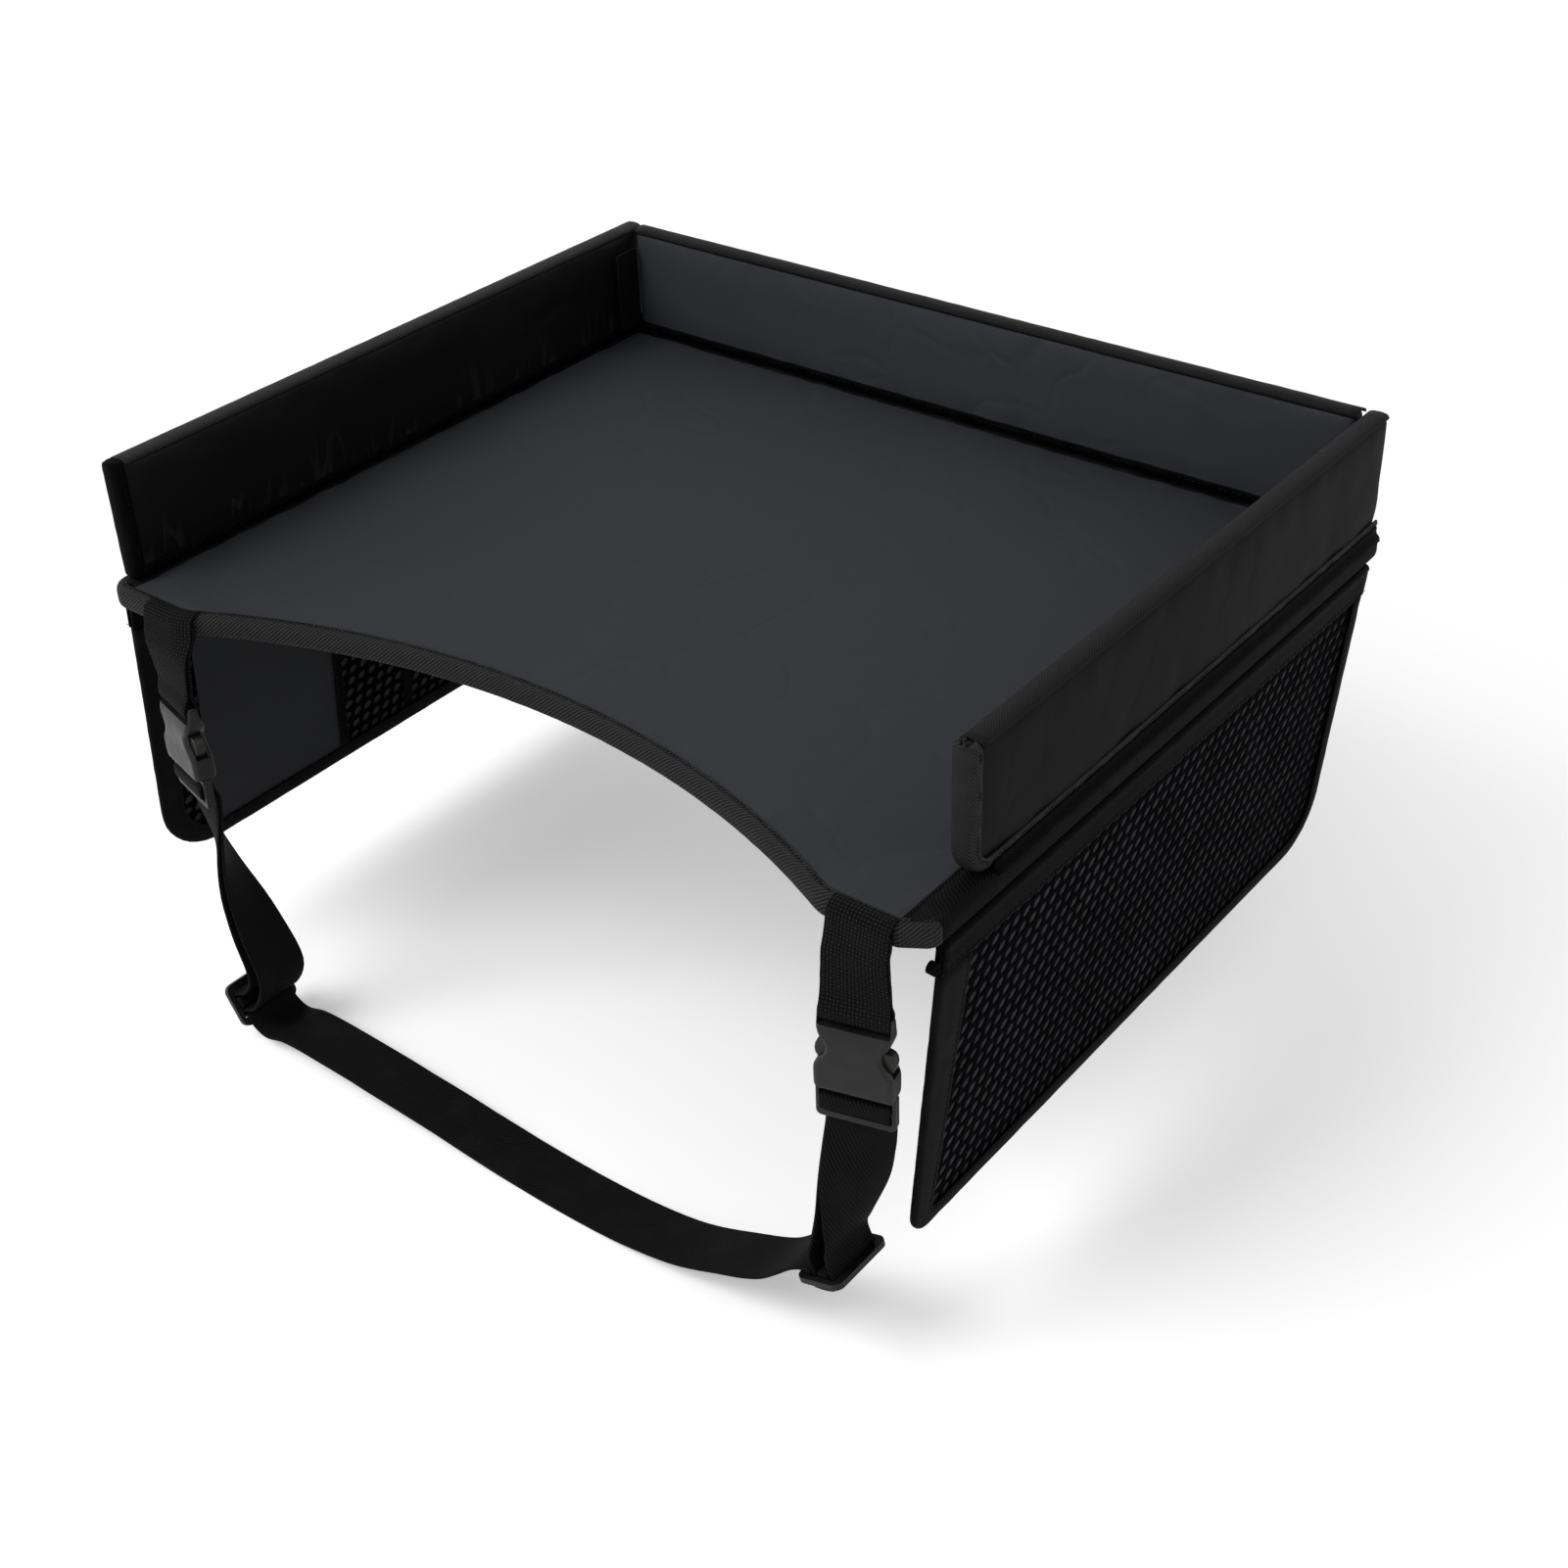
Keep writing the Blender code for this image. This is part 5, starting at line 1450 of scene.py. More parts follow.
def tapeOnFlap(label, y, lowT, highT):
    half = 0.0025
    top = flapShape["hem"] + flapShape["seamGap"]
    low = flapShape["drop"] - flapShape["leg"] - flapShape["seamGap"]
    skin = [(-half, (lowT + highT) / 2), (-half * 0.9, lowT), (-half * 0.55, lowT + 0.00012), (0.0, lowT)]
    section = mirrored(skin) + [(half * 0.9, highT), (-half * 0.9, highT)]
    rings = [[onFlap("left", y + across, u, t) for across, t in section] for u in evenly(top, low, 30)]
    node = "left_flap_" + label.lower() + "_tape"
    layTape("leftFlap" + label + "Tape", rings, darkTape, "upright tape", "left_flap", node)


for label, places in uprightTapes.items():
    tapeOnFlap(label, *places)
print("flaps hung")


# Hook and loop closures: a strip of cloth with rows of small arcs standing on it.
fibreInputs = {
    "Width": 0.012,
    "Height": 0.036,
    "Columns": 15,
    "Rows": 44,
    "Scatter": 0.0003,
    "Fibre radius": 0.00024,
    "Fibre sweep": 4.3,
    "Fibre thickness": 0.00008,
    "Turn": 6.28,
    "Seed": 3,
    "Material": fleeceFibre,
}
hookInputs = {
    "Columns": 11,
    "Rows": 34,
    "Scatter": 0.00001,
    "Fibre radius": 0.0002,
    "Fibre sweep": 3.0,
    "Turn": 0.0,
    "Material": hookPlastic,
}


def fibreTree():
    tree, given = startGroup("Fibres on a strip", fibreInputs, "GeometryNodeTree")
    far = given["Scatter"]
    near = calc(tree, "MULTIPLY", far, -1.0)
    limits = {"Min": vectorOf(tree, near, near), "Max": vectorOf(tree, far, far), "Seed": given["Seed"]}
    jitter = addNode(tree, "FunctionNodeRandomValue", {"data_type": "FLOAT_VECTOR"}, limits).outputs[0]
    grid = gridOf(tree, given, "Width", "Height")
    moved = shapeNode(tree, "SetPosition", {"Geometry": grid, "Offset": jitter})[0]
    bend = {"Radius": given["Fibre radius"], "Start Angle": -0.6, "Sweep Angle": given["Fibre sweep"]}
    arc = shapeNode(tree, "CurveArc", {"Resolution": 8, **bend})[0]
    ring = shapeNode(tree, "CurvePrimitiveCircle", {"Resolution": 4, "Radius": given["Fibre thickness"]})[0]
    fibre = shapeNode(tree, "CurveToMesh", {"Curve": arc, "Profile Curve": ring, "Fill Caps": True})[0]
    lift = vectorOf(tree, z=calc(tree, "MULTIPLY", given["Fibre radius"], 0.4))
    upright = {"Geometry": fibre, "Translation": lift, "Rotation": (math.radians(90), 0.0, 0.0)}
    raised = shapeNode(tree, "Transform", upright)[0]
    limits = {"Max": given["Turn"], "Seed": given["Seed"]}
    angle = addNode(tree, "FunctionNodeRandomValue", {"data_type": "FLOAT"}, limits).outputs[1]
    turned = addNode(tree, "FunctionNodeEulerToRotation", inputs={0: vectorOf(tree, z=angle)}).outputs[0]
    many = shapeNode(tree, "InstanceOnPoints", {"Points": moved, "Instance": raised, "Rotation": turned})[0]
    return endShape(tree, given, many, False)


closureLook = {
    "along": (0.1342, 0.1462),
    "rise": (0.00615, 0.04215),
    "loop": 0.0098,
    "hook": 0.0109,
    "thick": 0.0004,
    "tab": 0.012,
    "tabThick": 0.001,
    "tabEdge": 0.0015,
    "corner": 0.0012,
    "tabCorner": 0.0022,
    "softEdge": ((0.6, -1.0), (0.12, -1.0), (0.03, -0.7), (0.0, 0.0), (0.03, 0.7), (0.12, 1.0), (0.6, 1.0)),
}
fibreNodes = fibreTree()


def slabOnWall(name, side, places, low, high, heights, material, corner):
    # A thin slab of cloth with rounded corners and softened edges, seen from the wall's side.
    outline = roundedCorners((places[0], heights[0]), (places[1], heights[1]), corner, 4)
    centre = (sum(places) / 2, sum(heights) / 2)
    rings = []
    for pull, share in closureLook["softEdge"]:
        level = (low + high) / 2 + (high - low) / 2 * share
        pullA, pullH = (pull * 0.5, pull * 0.5) if pull > 0.5 else (pull, pull * 0.4)
        moved = [(a + (centre[0] - a) * pullA, h + (centre[1] - h) * pullH) for a, h in outline]
        rings.append([onWall(side, a, level, h) for a, h in moved])
    return sweptPiece(name, rings, material)


def fibresOnWall(name, side, depth, facing, body, slot, values):
    piece = runNodes(seedPiece(name, fleeceFibre), fibreNodes, {**fibreInputs, **values})
    a, h = (sum(closureLook[way]) / 2 for way in ("along", "rise"))
    middle = Vector(onWall(side, a, depth, h))
    along = Vector(onWall(side, a + 1, depth, h)) - middle
    inwards = Vector(onWall(side, a, depth + 1, h)) - middle
    rise = Vector((0.0, 0.0, 1.0))
    if along.cross(rise).dot(inwards) * facing < 0:
        rise = -rise
    turn = Matrix((along, rise, along.cross(rise))).transposed().to_4x4()
    piece.data.transform(Matrix.Translation(middle) @ turn)
    dress(piece, body, slot)


def closure(number, side):
    look = closureLook
    thick, wall = look["thick"], side + "_wall"
    level = look["loop"]
    cut = (look["along"], level, level + thick, look["rise"], tabCloth, look["corner"])
    dress(slabOnWall(side + "LoopStrip", side, *cut), wall, "loop_fleece", wall + "_loop_strip")
    fibresOnWall(side + "LoopFleece", side, level + thick, 1, wall, "loop_fleece", {"Seed": 3 + number})
    level = look["hook"] + thick
    cut = (look["along"], level, level + thick, look["rise"], hookPlastic, look["corner"])
    strip = slabOnWall(side + "HookStrip", side, *cut)
    dress(strip, "back_wall", "hook_tape", "back_wall_" + side + "_hook_strip")
    values = {**hookInputs, "Seed": 8 + number}
    fibresOnWall(side + "Hooks", side, level, -1, "back_wall", "hook_tape", values)
    edge = look["tabEdge"]
    places, heights = ((low - edge, high + edge) for low, high in (look["along"], look["rise"]))
    cut = (places, look["tab"], look["tab"] + look["tabThick"], heights, tabCloth, look["tabCorner"])
    tab = smoothOnce(slabOnWall(side + "CornerTab", side, *cut))
    roughen(tab, "corner tab", number)
    dress(tab, "back_wall", "cloth", "back_wall_" + side + "_tab")


for number, side in enumerate(("left", "right")):
    closure(number, side)
print("closures ready")


# Belt. Its places are measured from the swing axis; the webbing follows smooth paths through controls.
beltLook = {
    "axis": (0.0, -0.1708, -0.0003),
    "yaw": 15.0,
    "web": 0.0014,
    "width": 0.025,
    "gap": 0.0003,
    "tabX": {"left": 0.161, "right": 0.176},
    "tabDrop": 0.0275,
    "tabShares": (0.2, 0.4, 0.62, 0.82),
    "barHalf": 0.0015,
    "barLength": 0.003,
    "buckleWidth": 0.0288,
    "buckleThick": 0.0095,
    "socket": 0.033,
    "socketWaist": 0.02,
    "slotEnd": 0.0066,
    "cavityWidth": 0.0225,
    "cavityHalf": 0.0025,
    "windowStart": 0.0125,
    "windowEnd": 0.0235,
    "plug": 0.014,
    "plugFront": 0.0022,
    "plugBack": 0.0016,
    "plugCorner": 0.0022,
    "collar": 0.0023,
    "nearSlot": 0.003,
    "plugBar": 0.0024,
    "farSlot": 0.0036,
    "plugRoot": 0.005,
    "tongueHalf": 0.0034,
    "tongueCorner": 0.0012,
    "tongueLength": 0.0168,
    "armThick": 0.004,
    "armInner": 0.007,
    "sliderLength": 0.03,
    "sliderWidth": 0.02,
    "sliderThick": 0.0024,
    "sliderBar": 0.0015,
    "sliderSlot": 0.0045,
    "sliderCorner": 0.0035,
    "layerRoom": 0.0011,
    "waistDrop": 0.1872,
}
# Each slider's distance from the middle, its depth and its tilt.
sliders = {"left": (0.146, 0.1727, 60.0), "right": (0.168, 0.1457, 18.0)}
signs = {"left": -1.0, "right": 1.0}
beltAxis = Vector(beltLook["axis"])
layerPitch = beltLook["web"] + beltLook["gap"]
webOffset = beltLook["web"] / 2 + beltLook["gap"]
strapAcross = Vector((0.0, 1.0, 0.0))
down = Vector((0.0, 0.0, -1.0))


def beltTurn(side, share=1.0):
    # Across and forward, where a tab or buckle is turned about the upright by a share of the belt's yaw.
    yaw = signs[side] * math.radians(beltLook["yaw"]) * share
    return Vector((math.cos(yaw), math.sin(yaw), 0.0)), Vector((math.sin(yaw), -math.cos(yaw), 0.0))


def curvePoint(rows, t):
    before, first, second, after = rows
    spans = []
    for start, end in zip(rows, rows[1:]):
        spans.append(max(math.sqrt(math.dist(start[:3], end[:3])), 0.002))
    result = []
    for a, b, c, d in zip(before, first, second, after):
        into = ((b - a) / spans[0] - (c - a) / (spans[0] + spans[1]) + (c - b) / spans[1]) * spans[1]
        out = ((c - b) / spans[1] - (d - b) / (spans[1] + spans[2]) + (d - c) / spans[2]) * spans[1]
        cubic = 2 * b - 2 * c + into + out
        square = 3 * c - 3 * b - 2 * into - out
        result.append(((cubic * t + square) * t + into) * t + b)
    return result


def smoothPath(controls, steps=5):
    rows = [[*place, *across] for place, across in controls]
    rows = [rows[0]] + rows + [rows[-1]]
    stations = []
    for index in range(len(rows) - 3):
        four = rows[index : index + 4]
        stations += [curvePoint(four, step / steps) for step in range(steps)]
    stations.append(curvePoint(four, 1.0))
    return [(Vector(row[:3]), Vector(row[3:]).normalized()) for row in stations]


# Half of the webbing's section: share of its half width, share of its half thickness.
webEdge = [(0.0, 1.0), (0.3, 1.0), (0.6, 1.0), (0.85, 1.0), (0.94, 0.94), (0.978, 0.74), (0.994, 0.42)]


def webbing(name, controls, material):
    stations = smoothPath(controls)
    upper = webEdge[::-1] + [(-share, height) for share, height in webEdge[1:]]
    section = [(1.0, 0.0)] + upper + [(-1.0, 0.0)] + [(share, -height) for share, height in reversed(upper)]
    rings = []
    for index, (place, across) in enumerate(stations):
        tangent = stations[min(index + 1, len(stations) - 1)][0] - stations[max(index - 1, 0)][0]
        normal = tangent.cross(across).normalized()
        side = normal.cross(tangent).normalized()
        if side.dot(across) < 0:
            side = -side
        wide = side * beltLook["width"] / 2
        thick = normal * beltLook["web"] / 2
        rings.append([beltAxis + place + wide * share + thick * height for share, height in section])
    return sweptPiece(name, rings, material)


# Where a tab starts and ends, as y and z: the front layer folds back over the table's edge.
tabStart = [(-0.1636, 0.0097), (-0.165, 0.01015), (-0.1666, 0.00995), (-0.1682, 0.009), (-0.1692, 0.0074)]
tabStart += [(-0.16975, 0.005), (-0.1702, 0.0022), (-0.1709, -0.0012)]
tabEnd = [(0.0014, 0.0012), (0.0023, -0.001), (0.0026, -0.0035), (0.00265, -0.0062)]
tabBlend = (0.0015, -0.005)
tabRise = {"from": -0.011, "over": 0.013}


def buildTab(side):
    look = beltLook
    drop, length = look["tabDrop"], look["barLength"]
    bar = look["barHalf"] + webOffset
    hanging = [(layerPitch / 2 + look["gap"] / 2, share * drop) for share in look["tabShares"]]
    hanging += [(bar, drop), (bar, drop + length), (bar * 0.86, drop + length + webOffset * 0.78)]
    hanging.append((bar * 0.42, drop + length + webOffset))
    start = [(beltAxis.y - y, beltAxis.z - z) for y, z in tabStart]
    back = [(-n, low) for n, low in reversed(hanging)]
    end = [(-n, low) for n, low in tabEnd]
    controls = []
    for n, low in start + hanging + back + end:
        across, forward = beltTurn(side, clamped(low / drop))
        controls.append((Vector((signs[side] * look["tabX"][side], 0.0, -low)) + forward * n, across))
    piece = webbing(side + "BeltTab", controls, tabWebbing)
    # The tab's top follows the table's front edge.
    edge = frontRun(0.0)
    for vertex in piece.data.vertices:
        rise = clamped((vertex.co.z - tabRise["from"]) / tabRise["over"])
        vertex.co.y += (heightAt(edge, vertex.co.x) - frontLine) * eased(rise)
    piece.data.update()
    roughen(piece, "belt tab")
    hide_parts(side + "_tab", side + "_tab_anchor")
    start, end = ((0.0, beltAxis.y, z) for z in tabBlend)
    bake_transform(piece)
    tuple(start)
    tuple(end)


# The pair of layers between a plug and its slider: how far down, how far across, how open and how turned.
riseShares = {
    "right": [(0.1, -0.01, 0, 0.06), (0.38, 0.1, 0.12, 0.36), (0.66, 0.42, 0.42, 0.72), (0.88, 0.8, 0.8, 0.95)],
    "left": [(0.1, 0.02, 0, 0.06), (0.36, 0.3, 0.14, 0.42), (0.62, 0.86, 0.42, 0.8), (0.86, 1.28, 0.8, 0.98)],
}
# The strap's waist, from the right slider to the left one: share of the way across, share of the drop.
waistShares = [(0.954, 0.797), (0.933, 0.832), (0.905, 0.873), (0.844, 0.922), (0.767, 0.971)]
waistShares += [(0.672, 0.997), (0.522, 1.0), (0.331, 0.977), (0.147, 0.961), (0.083, 0.962), (0.045, 0.978)]


def sliderFrame(side):
    x, drop, tilt = sliders[side]
    sign = signs[side]
    angle = math.radians(tilt)
    away = Vector((sign * math.cos(angle), 0.0, math.sin(angle)))
    up = Vector((-sign * math.sin(angle), 0.0, math.cos(angle)))
    return Vector((sign * x, 0.0, -drop)), away, up


def plugSlots():
    # The two slots of a plug, as depths below the socket's top, and the plug's end.
    look = beltLook
    nearLow = look["socket"] + look["gap"] + look["collar"]
    nearHigh = nearLow + look["nearSlot"]
    farLow = nearHigh + look["plugBar"]
    return nearLow, nearHigh, farLow, farLow + look["farSlot"], look["socket"] + look["gap"] + look["plug"]


def strapHalf(side):
    look = beltLook
    sign, gap, rise = signs[side], look["gap"], look["buckleThick"]
    middle, away, up = sliderFrame(side)
    over = look["sliderThick"] / 2 + webOffset
    beside = look["sliderBar"] + webOffset + gap
    outer = beside + look["web"] + look["layerRoom"]
    below = over + layerPitch

    sewn = [(-beside * 0.35, over), (beside * 0.5, over), (beside * 0.86, over * 0.86), (beside, 0.0)]
    sewn += [(beside * 0.86, -over * 0.86), (beside * 0.5, -over), (-beside * 0.5, -over)]
    sewn += [(-beside * 0.86, -over * 0.86), (-beside, 0.0), (-beside, over), (-beside, rise)]
    controls = [(middle + away * u + up * v, strapAcross) for u, v in sewn]

    across, forward = beltTurn(side)
    top = Vector((sign * look["tabX"][side], 0.0, -look["tabDrop"]))
    back = -(look["plugBack"] + webOffset)
    front = look["plugFront"] + webOffset
    rear = back - layerPitch
    nearLow, nearHigh, farLow, farHigh, end = plugSlots()
    near = (nearLow + nearHigh) / 2 + gap
    far = (farLow + farHigh) / 2
    loop = [(end, rear), (farHigh, rear), (far, rear + gap), (farLow - look["plugBar"] * 0.5, back - gap)]
    loop += [(nearHigh, back), (near + gap, back * 0.86), (near, 0.0), (near + gap, front * 0.86)]
    loop += [(nearHigh, front), (farLow, front), (far - gap, front * 0.86), (far, 0.0)]
    loop += [(far + gap, back * 0.8), (farHigh, back - 0.00005), (end, back)]
    plug = [(top + forward * n + down * v, across) for v, n in loop]

    def atRise(shares, layer):
        dropShare, acrossShare, openShare, turnShare = shares
        start = top + down * (end + webOffset)
        finish = middle + away * ((outer - beside) / 2) + up * rise
        place = start.lerp(finish, acrossShare)
        place.z = start.z + (finish.z - start.z) * dropShare
        turn = sign * math.radians(look["yaw"] + (90 - look["yaw"]) * turnShare)
        openness = layerPitch + (outer + beside - layerPitch) * openShare
        shift = (back + rear) / 2 * (1 - turnShare)
        normal = Vector((abs(math.sin(turn)) * sign, -math.cos(turn), 0.0))
        wide = Vector((math.cos(turn), math.sin(turn), 0.0))
        return (place + normal * (layer * openness / 2 + shift), wide)

    controls += [atRise(shares, -1) for shares in reversed(riseShares[side])] + plug
    controls += [atRise(shares, 1) for shares in riseShares[side]]
    under = [(outer, rise), (outer, over), (outer, 0), (outer * 0.86, -below * 0.86), (outer * 0.5, -below)]
    under += [(-u, v) for u, v in reversed(under[2:])]
    under += [(-outer, over - webOffset), (-outer - gap, over), (-outer - webOffset, over + gap)]
    under.append((-look["sliderWidth"] / 2, over + gap))
    return controls + [(middle + away * u + up * v, strapAcross) for u, v in under]


def buildWaistStrap():
    controls = strapHalf("right")
    left, right = sliders["left"][0], sliders["right"][0]
    for across, drop in waistShares:
        place = Vector(((left + right) * across - left, 0.0, -beltLook["waistDrop"] * drop))
        controls.append((place, strapAcross))
    for place, across in reversed(strapHalf("left")):
        controls.append((place, -across if across.y < 0 else across))
    piece = webbing("waistStrap", controls, strapWebbing)
    roughen(piece, "strap")
    dress(piece, "waist_belt", "webbing", "waist_strap")


# Buckles: solid forms cut by others, with every sharp edge softened.
def buckleFrame(side):
    across, forward = beltTurn(side)
    top = beltAxis + Vector((signs[side] * beltLook["tabX"][side], 0.0, -beltLook["tabDrop"]))

    def place(w, n, v):
        return top + across * w + forward * n + down * v

    return place


def prismOf(name, outline, low, high, place, material=bucklePlastic):
    points = [place(w, n, v) for n in (low, high) for w, v in outline]
    return meshPiece(name, points, ringFaces(2, len(outline)), [material])


def cutAway(piece, *cutters):
    for cutter in cutters:
        addModifier(piece, "BOOLEAN", object=cutter, solver="EXACT")
    bake(piece)
    for cutter in cutters:
        bpy.data.objects.remove(cutter)


def soften(piece, width, sharp, segments=2):
    work = bmesh.new()
    work.from_mesh(piece.data)
    bmesh.ops.remove_doubles(work, verts=work.verts, dist=0.00002)
    edges = [edge for edge in work.edges if len(edge.link_faces) == 2]
    bmesh.ops.dissolve_limit(work, angle_limit=math.radians(1.5), verts=work.verts, edges=edges)
    work.to_mesh(piece.data)
    work.free()
    limit = {"limit_method": "ANGLE", "angle_limit": math.radians(sharp), "use_clamp_overlap": True}
    addModifier(piece, "BEVEL", width=width, segments=segments, harden_normals=False, **limit)
    addModifier(piece, "WEIGHTED_NORMAL", keep_sharp=False)
    piece.data.shade_smooth()
    bake(piece)


# Socket: depth as a share of its length, half width from the waist's (0) to the full one, and thickness.
socketShares = [(0.0, 0.7, 0.44), (0.012, 0.74, 0.5), (0.04, 0.77, 0.56), (0.12, 0.78, 0.62)]
socketShares += [(0.2, 0.78, 0.74), (0.25, 0.74, 0.84), (0.3, 0.62, 0.92), (0.345, 0.42, 0.96)]
socketShares += [(0.38, 0.19, 0.98), (0.41, 0.07, 1), (0.45, 0, 1), (0.5, 0.02, 1), (0.55, 0.13, 1)]
socketShares += [(0.6, 0.36, 1), (0.65, 0.66, 1), (0.69, 0.86, 1), (0.73, 0.97, 1), (0.78, 1, 1), (0.9, 1, 1)]
socketShares += [(0.97, 0.99, 0.98), (0.99, 0.96, 0.95), (1.0, 0.92, 0.9)]


def buildSocket(side):
    look = beltLook
    place = buckleFrame(side)
    narrow = look["socketWaist"] / 2
    wide = look["buckleWidth"] / 2
    thickHalf = look["buckleThick"] / 2
    rings = []
    for depth, width, thickness in socketShares:
        half = narrow + (wide - narrow) * width
        thick = thickHalf * thickness
        corners = roundedCorners((-half, -thick), (half, thick), thickHalf * 0.42, 4)
        rings.append([place(w, n, depth * look["socket"]) for w, n in corners])
    piece = sweptPiece(side + "BuckleSocket", rings, bucklePlastic)
    slot = look["width"] / 2 + look["gap"]
    out, bar, end, low = look["buckleThick"], look["barHalf"], look["slotEnd"], -0.002
    around = [(low, bar), (low, out), (end, out), (end, -out), (low, -out), (low, -bar)]
    around += [(look["barLength"], -bar), (look["barLength"], bar)]
    points = [place(w, n, v) for w in (-slot, slot) for v, n in around]
    opening = meshPiece("opening", points, ringFaces(2, len(around)), [bucklePlastic])
    hole = look["cavityWidth"] / 2
    beyond = look["buckleWidth"]
    mouth = look["socket"] - low
    first, last = look["windowStart"], look["windowEnd"]
    room = [(-hole, mouth), (-hole, last), (-beyond, last), (-beyond, first)]
    room += [(-w, v) for w, v in reversed(room)]
    cutAway(piece, opening, prismOf("room", room, -look["cavityHalf"], look["cavityHalf"], place))
    soften(piece, 0.00032, 42.0)
    dress(piece, "belt_ends", "plastic", side + "_buckle_socket")


def buildPlug(side):
    look = beltLook
    place = buckleFrame(side)
    start = look["socket"] + look["gap"]
    root = start - look["plugRoot"]
    wide = look["buckleWidth"] / 2
    hole = look["cavityWidth"] / 2 - look["gap"]
    slot = look["width"] / 2 + look["gap"]
    *slots, end = plugSlots()
    corner, tongue, tip = look["plugCorner"], look["tongueHalf"], look["tongueCorner"]
    tongueEnd = start - look["tongueLength"]
    outline = [(hole, root), (hole, start), (wide, start)]
    outline += arcPoints(wide - corner, end - corner, corner, 0, 90, 6)
    outline += arcPoints(corner - wide, end - corner, corner, 90, 180, 6)
    outline += [(-wide, start), (-hole, start), (-hole, root), (-tongue, root)]
    outline += arcPoints(tip - tongue, tongueEnd, tip, 180, 270, 4)
    outline += arcPoints(tongue - tip, tongueEnd, tip, 270, 360, 4) + [(tongue, root)]
    piece = prismOf(side + "BucklePlug", outline, -look["plugBack"], look["plugFront"], place)
    cutters = []
    for low, high in (slots[:2], slots[2:]):
        corners = [(-slot, low), (slot, low), (slot, high), (-slot, high)]
        cutters.append(prismOf("slot", corners, -0.01, 0.01, place))
    cutAway(piece, *cutters)
    soften(piece, 0.00055, 42.0)
    dress(piece, "waist_belt", "plastic", side + "_buckle_plug")


# A springy arm's outline: shares of the way across to the buckle's side, and shares of its length.
armShares = [(0.06, 1.0), (0.46, 1.0), (0.47, 0.84), (0.5, 0.74), (0.6, 0.69), (0.74, 0.66), (0.83, 0.58)]
armShares += [(0.96, 0.46), (0.99, 0.34), (0.95, 0.22), (0.84, 0.12), (0.66, 0.08), (0.46, 0.05)]
armShares += [(0.28, 0.04), (0.15, 0.09), (0.06, 0.18)]


def buildArms(side):
    look = beltLook
    top = look["windowStart"] + look["gap"]
    root = look["socket"] - look["plugRoot"]
    inner = look["armInner"]
    half = look["armThick"] / 2 + 0.0002
    for label, direction in (("outer", signs[side]), ("inner", -signs[side])):
        outline = []
        for across, along in armShares:
            w = inner + (look["buckleWidth"] / 2 - inner) * across
            outline.append((direction * w, top + (root - top) * along))
        name = side + label.capitalize() + "BuckleArm"
        piece = prismOf(name, outline, -half, half, buckleFrame(side), armPlastic)
        soften(piece, 0.0006, 50.0, 3)
        dress(piece, "waist_belt", "plastic", side + "_buckle_" + label + "_arm")


def buildSlider(side):
    look = beltLook
    middle, away, up = sliderFrame(side)

    def place(u, v, y):
        return beltAxis + middle + away * u + strapAcross * y + up * v

    wide, long, half = look["sliderWidth"] / 2, look["sliderLength"] / 2, look["sliderThick"] / 2
    outline = roundedCorners((-wide, -long), (wide, long), look["sliderCorner"], 7)
    piece = prismOf(side + "Slider", outline, -half, half, place, sliderPlastic)
    slot = look["width"] / 2 + look["gap"]
    cutters = []
    for direction in (-1, 1):
        low = direction * (look["sliderBar"] + look["gap"])
        high = low + direction * look["sliderSlot"]
        corners = [(low, -slot), (high, -slot), (high, slot), (low, slot)]
        cutters.append(prismOf("slot", corners, -0.004, 0.004, place, sliderPlastic))
    cutAway(piece, *cutters)
    soften(piece, 0.0007, 40.0, 3)
    dress(piece, "waist_belt", "plastic", side + "_slider")


for side in ("left", "right"):
    buildTab(side)
    buildSocket(side)
    buildPlug(side)
    buildArms(side)
    buildSlider(side)
buildWaistStrap()
print("belt ready")


# Stitches: each seam is a row of places with its outward direction, and one set of nodes sews them all.
stitchInputs = {"Pitch": 0.0031, "Length": 0.0022, "Thread": 0.00042, "Material": darkThread}
stitchLook = {
    "lift": 0.00006,
    "inset": 0.0017,
    "skin": 0.0001,
    "wallSkin": 0.0002,
    "hem": 0.0016,
    "apart": 0.0019,
    "upright": (0.014, 0.127),
}


def stitchTree():
    tree, given = startGroup("Row of stitches", stitchInputs, "GeometryNodeTree")
    outward = shapeNode(tree, "InputNamedAttribute", {"Name": "outward"}, {"data_type": "FLOAT_VECTOR"})[0]
    curve = shapeNode(tree, "MeshToCurve", {"Mesh": given["Geometry"]})[0]
    points = shapeNode(tree, "CurveToPoints", {"Curve": curve, "Length": given["Pitch"]}, {"mode": "LENGTH"})
    turn = "FunctionNodeAlignRotationToVector"
    along = addNode(tree, turn, {"axis": "X"}, {"Vector": points["Tangent"]}).outputs[0]
    facing = {"Rotation": along, "Vector": outward}
    upright = addNode(tree, turn, {"axis": "Z", "pivot_axis": "X"}, facing).outputs[0]
    ball = shapeNode(tree, "MeshUVSphere", {"Segments": 6, "Rings": 5, "Radius": 0.5})["Mesh"]
    size = vectorOf(tree, given["Length"], given["Thread"], given["Thread"])
    inputs = {"Points": points["Points"], "Instance": ball, "Rotation": upright, "Scale": size}
    return endShape(tree, given, shapeNode(tree, "InstanceOnPoints", inputs)[0], True)


stitchNodes = stitchTree()


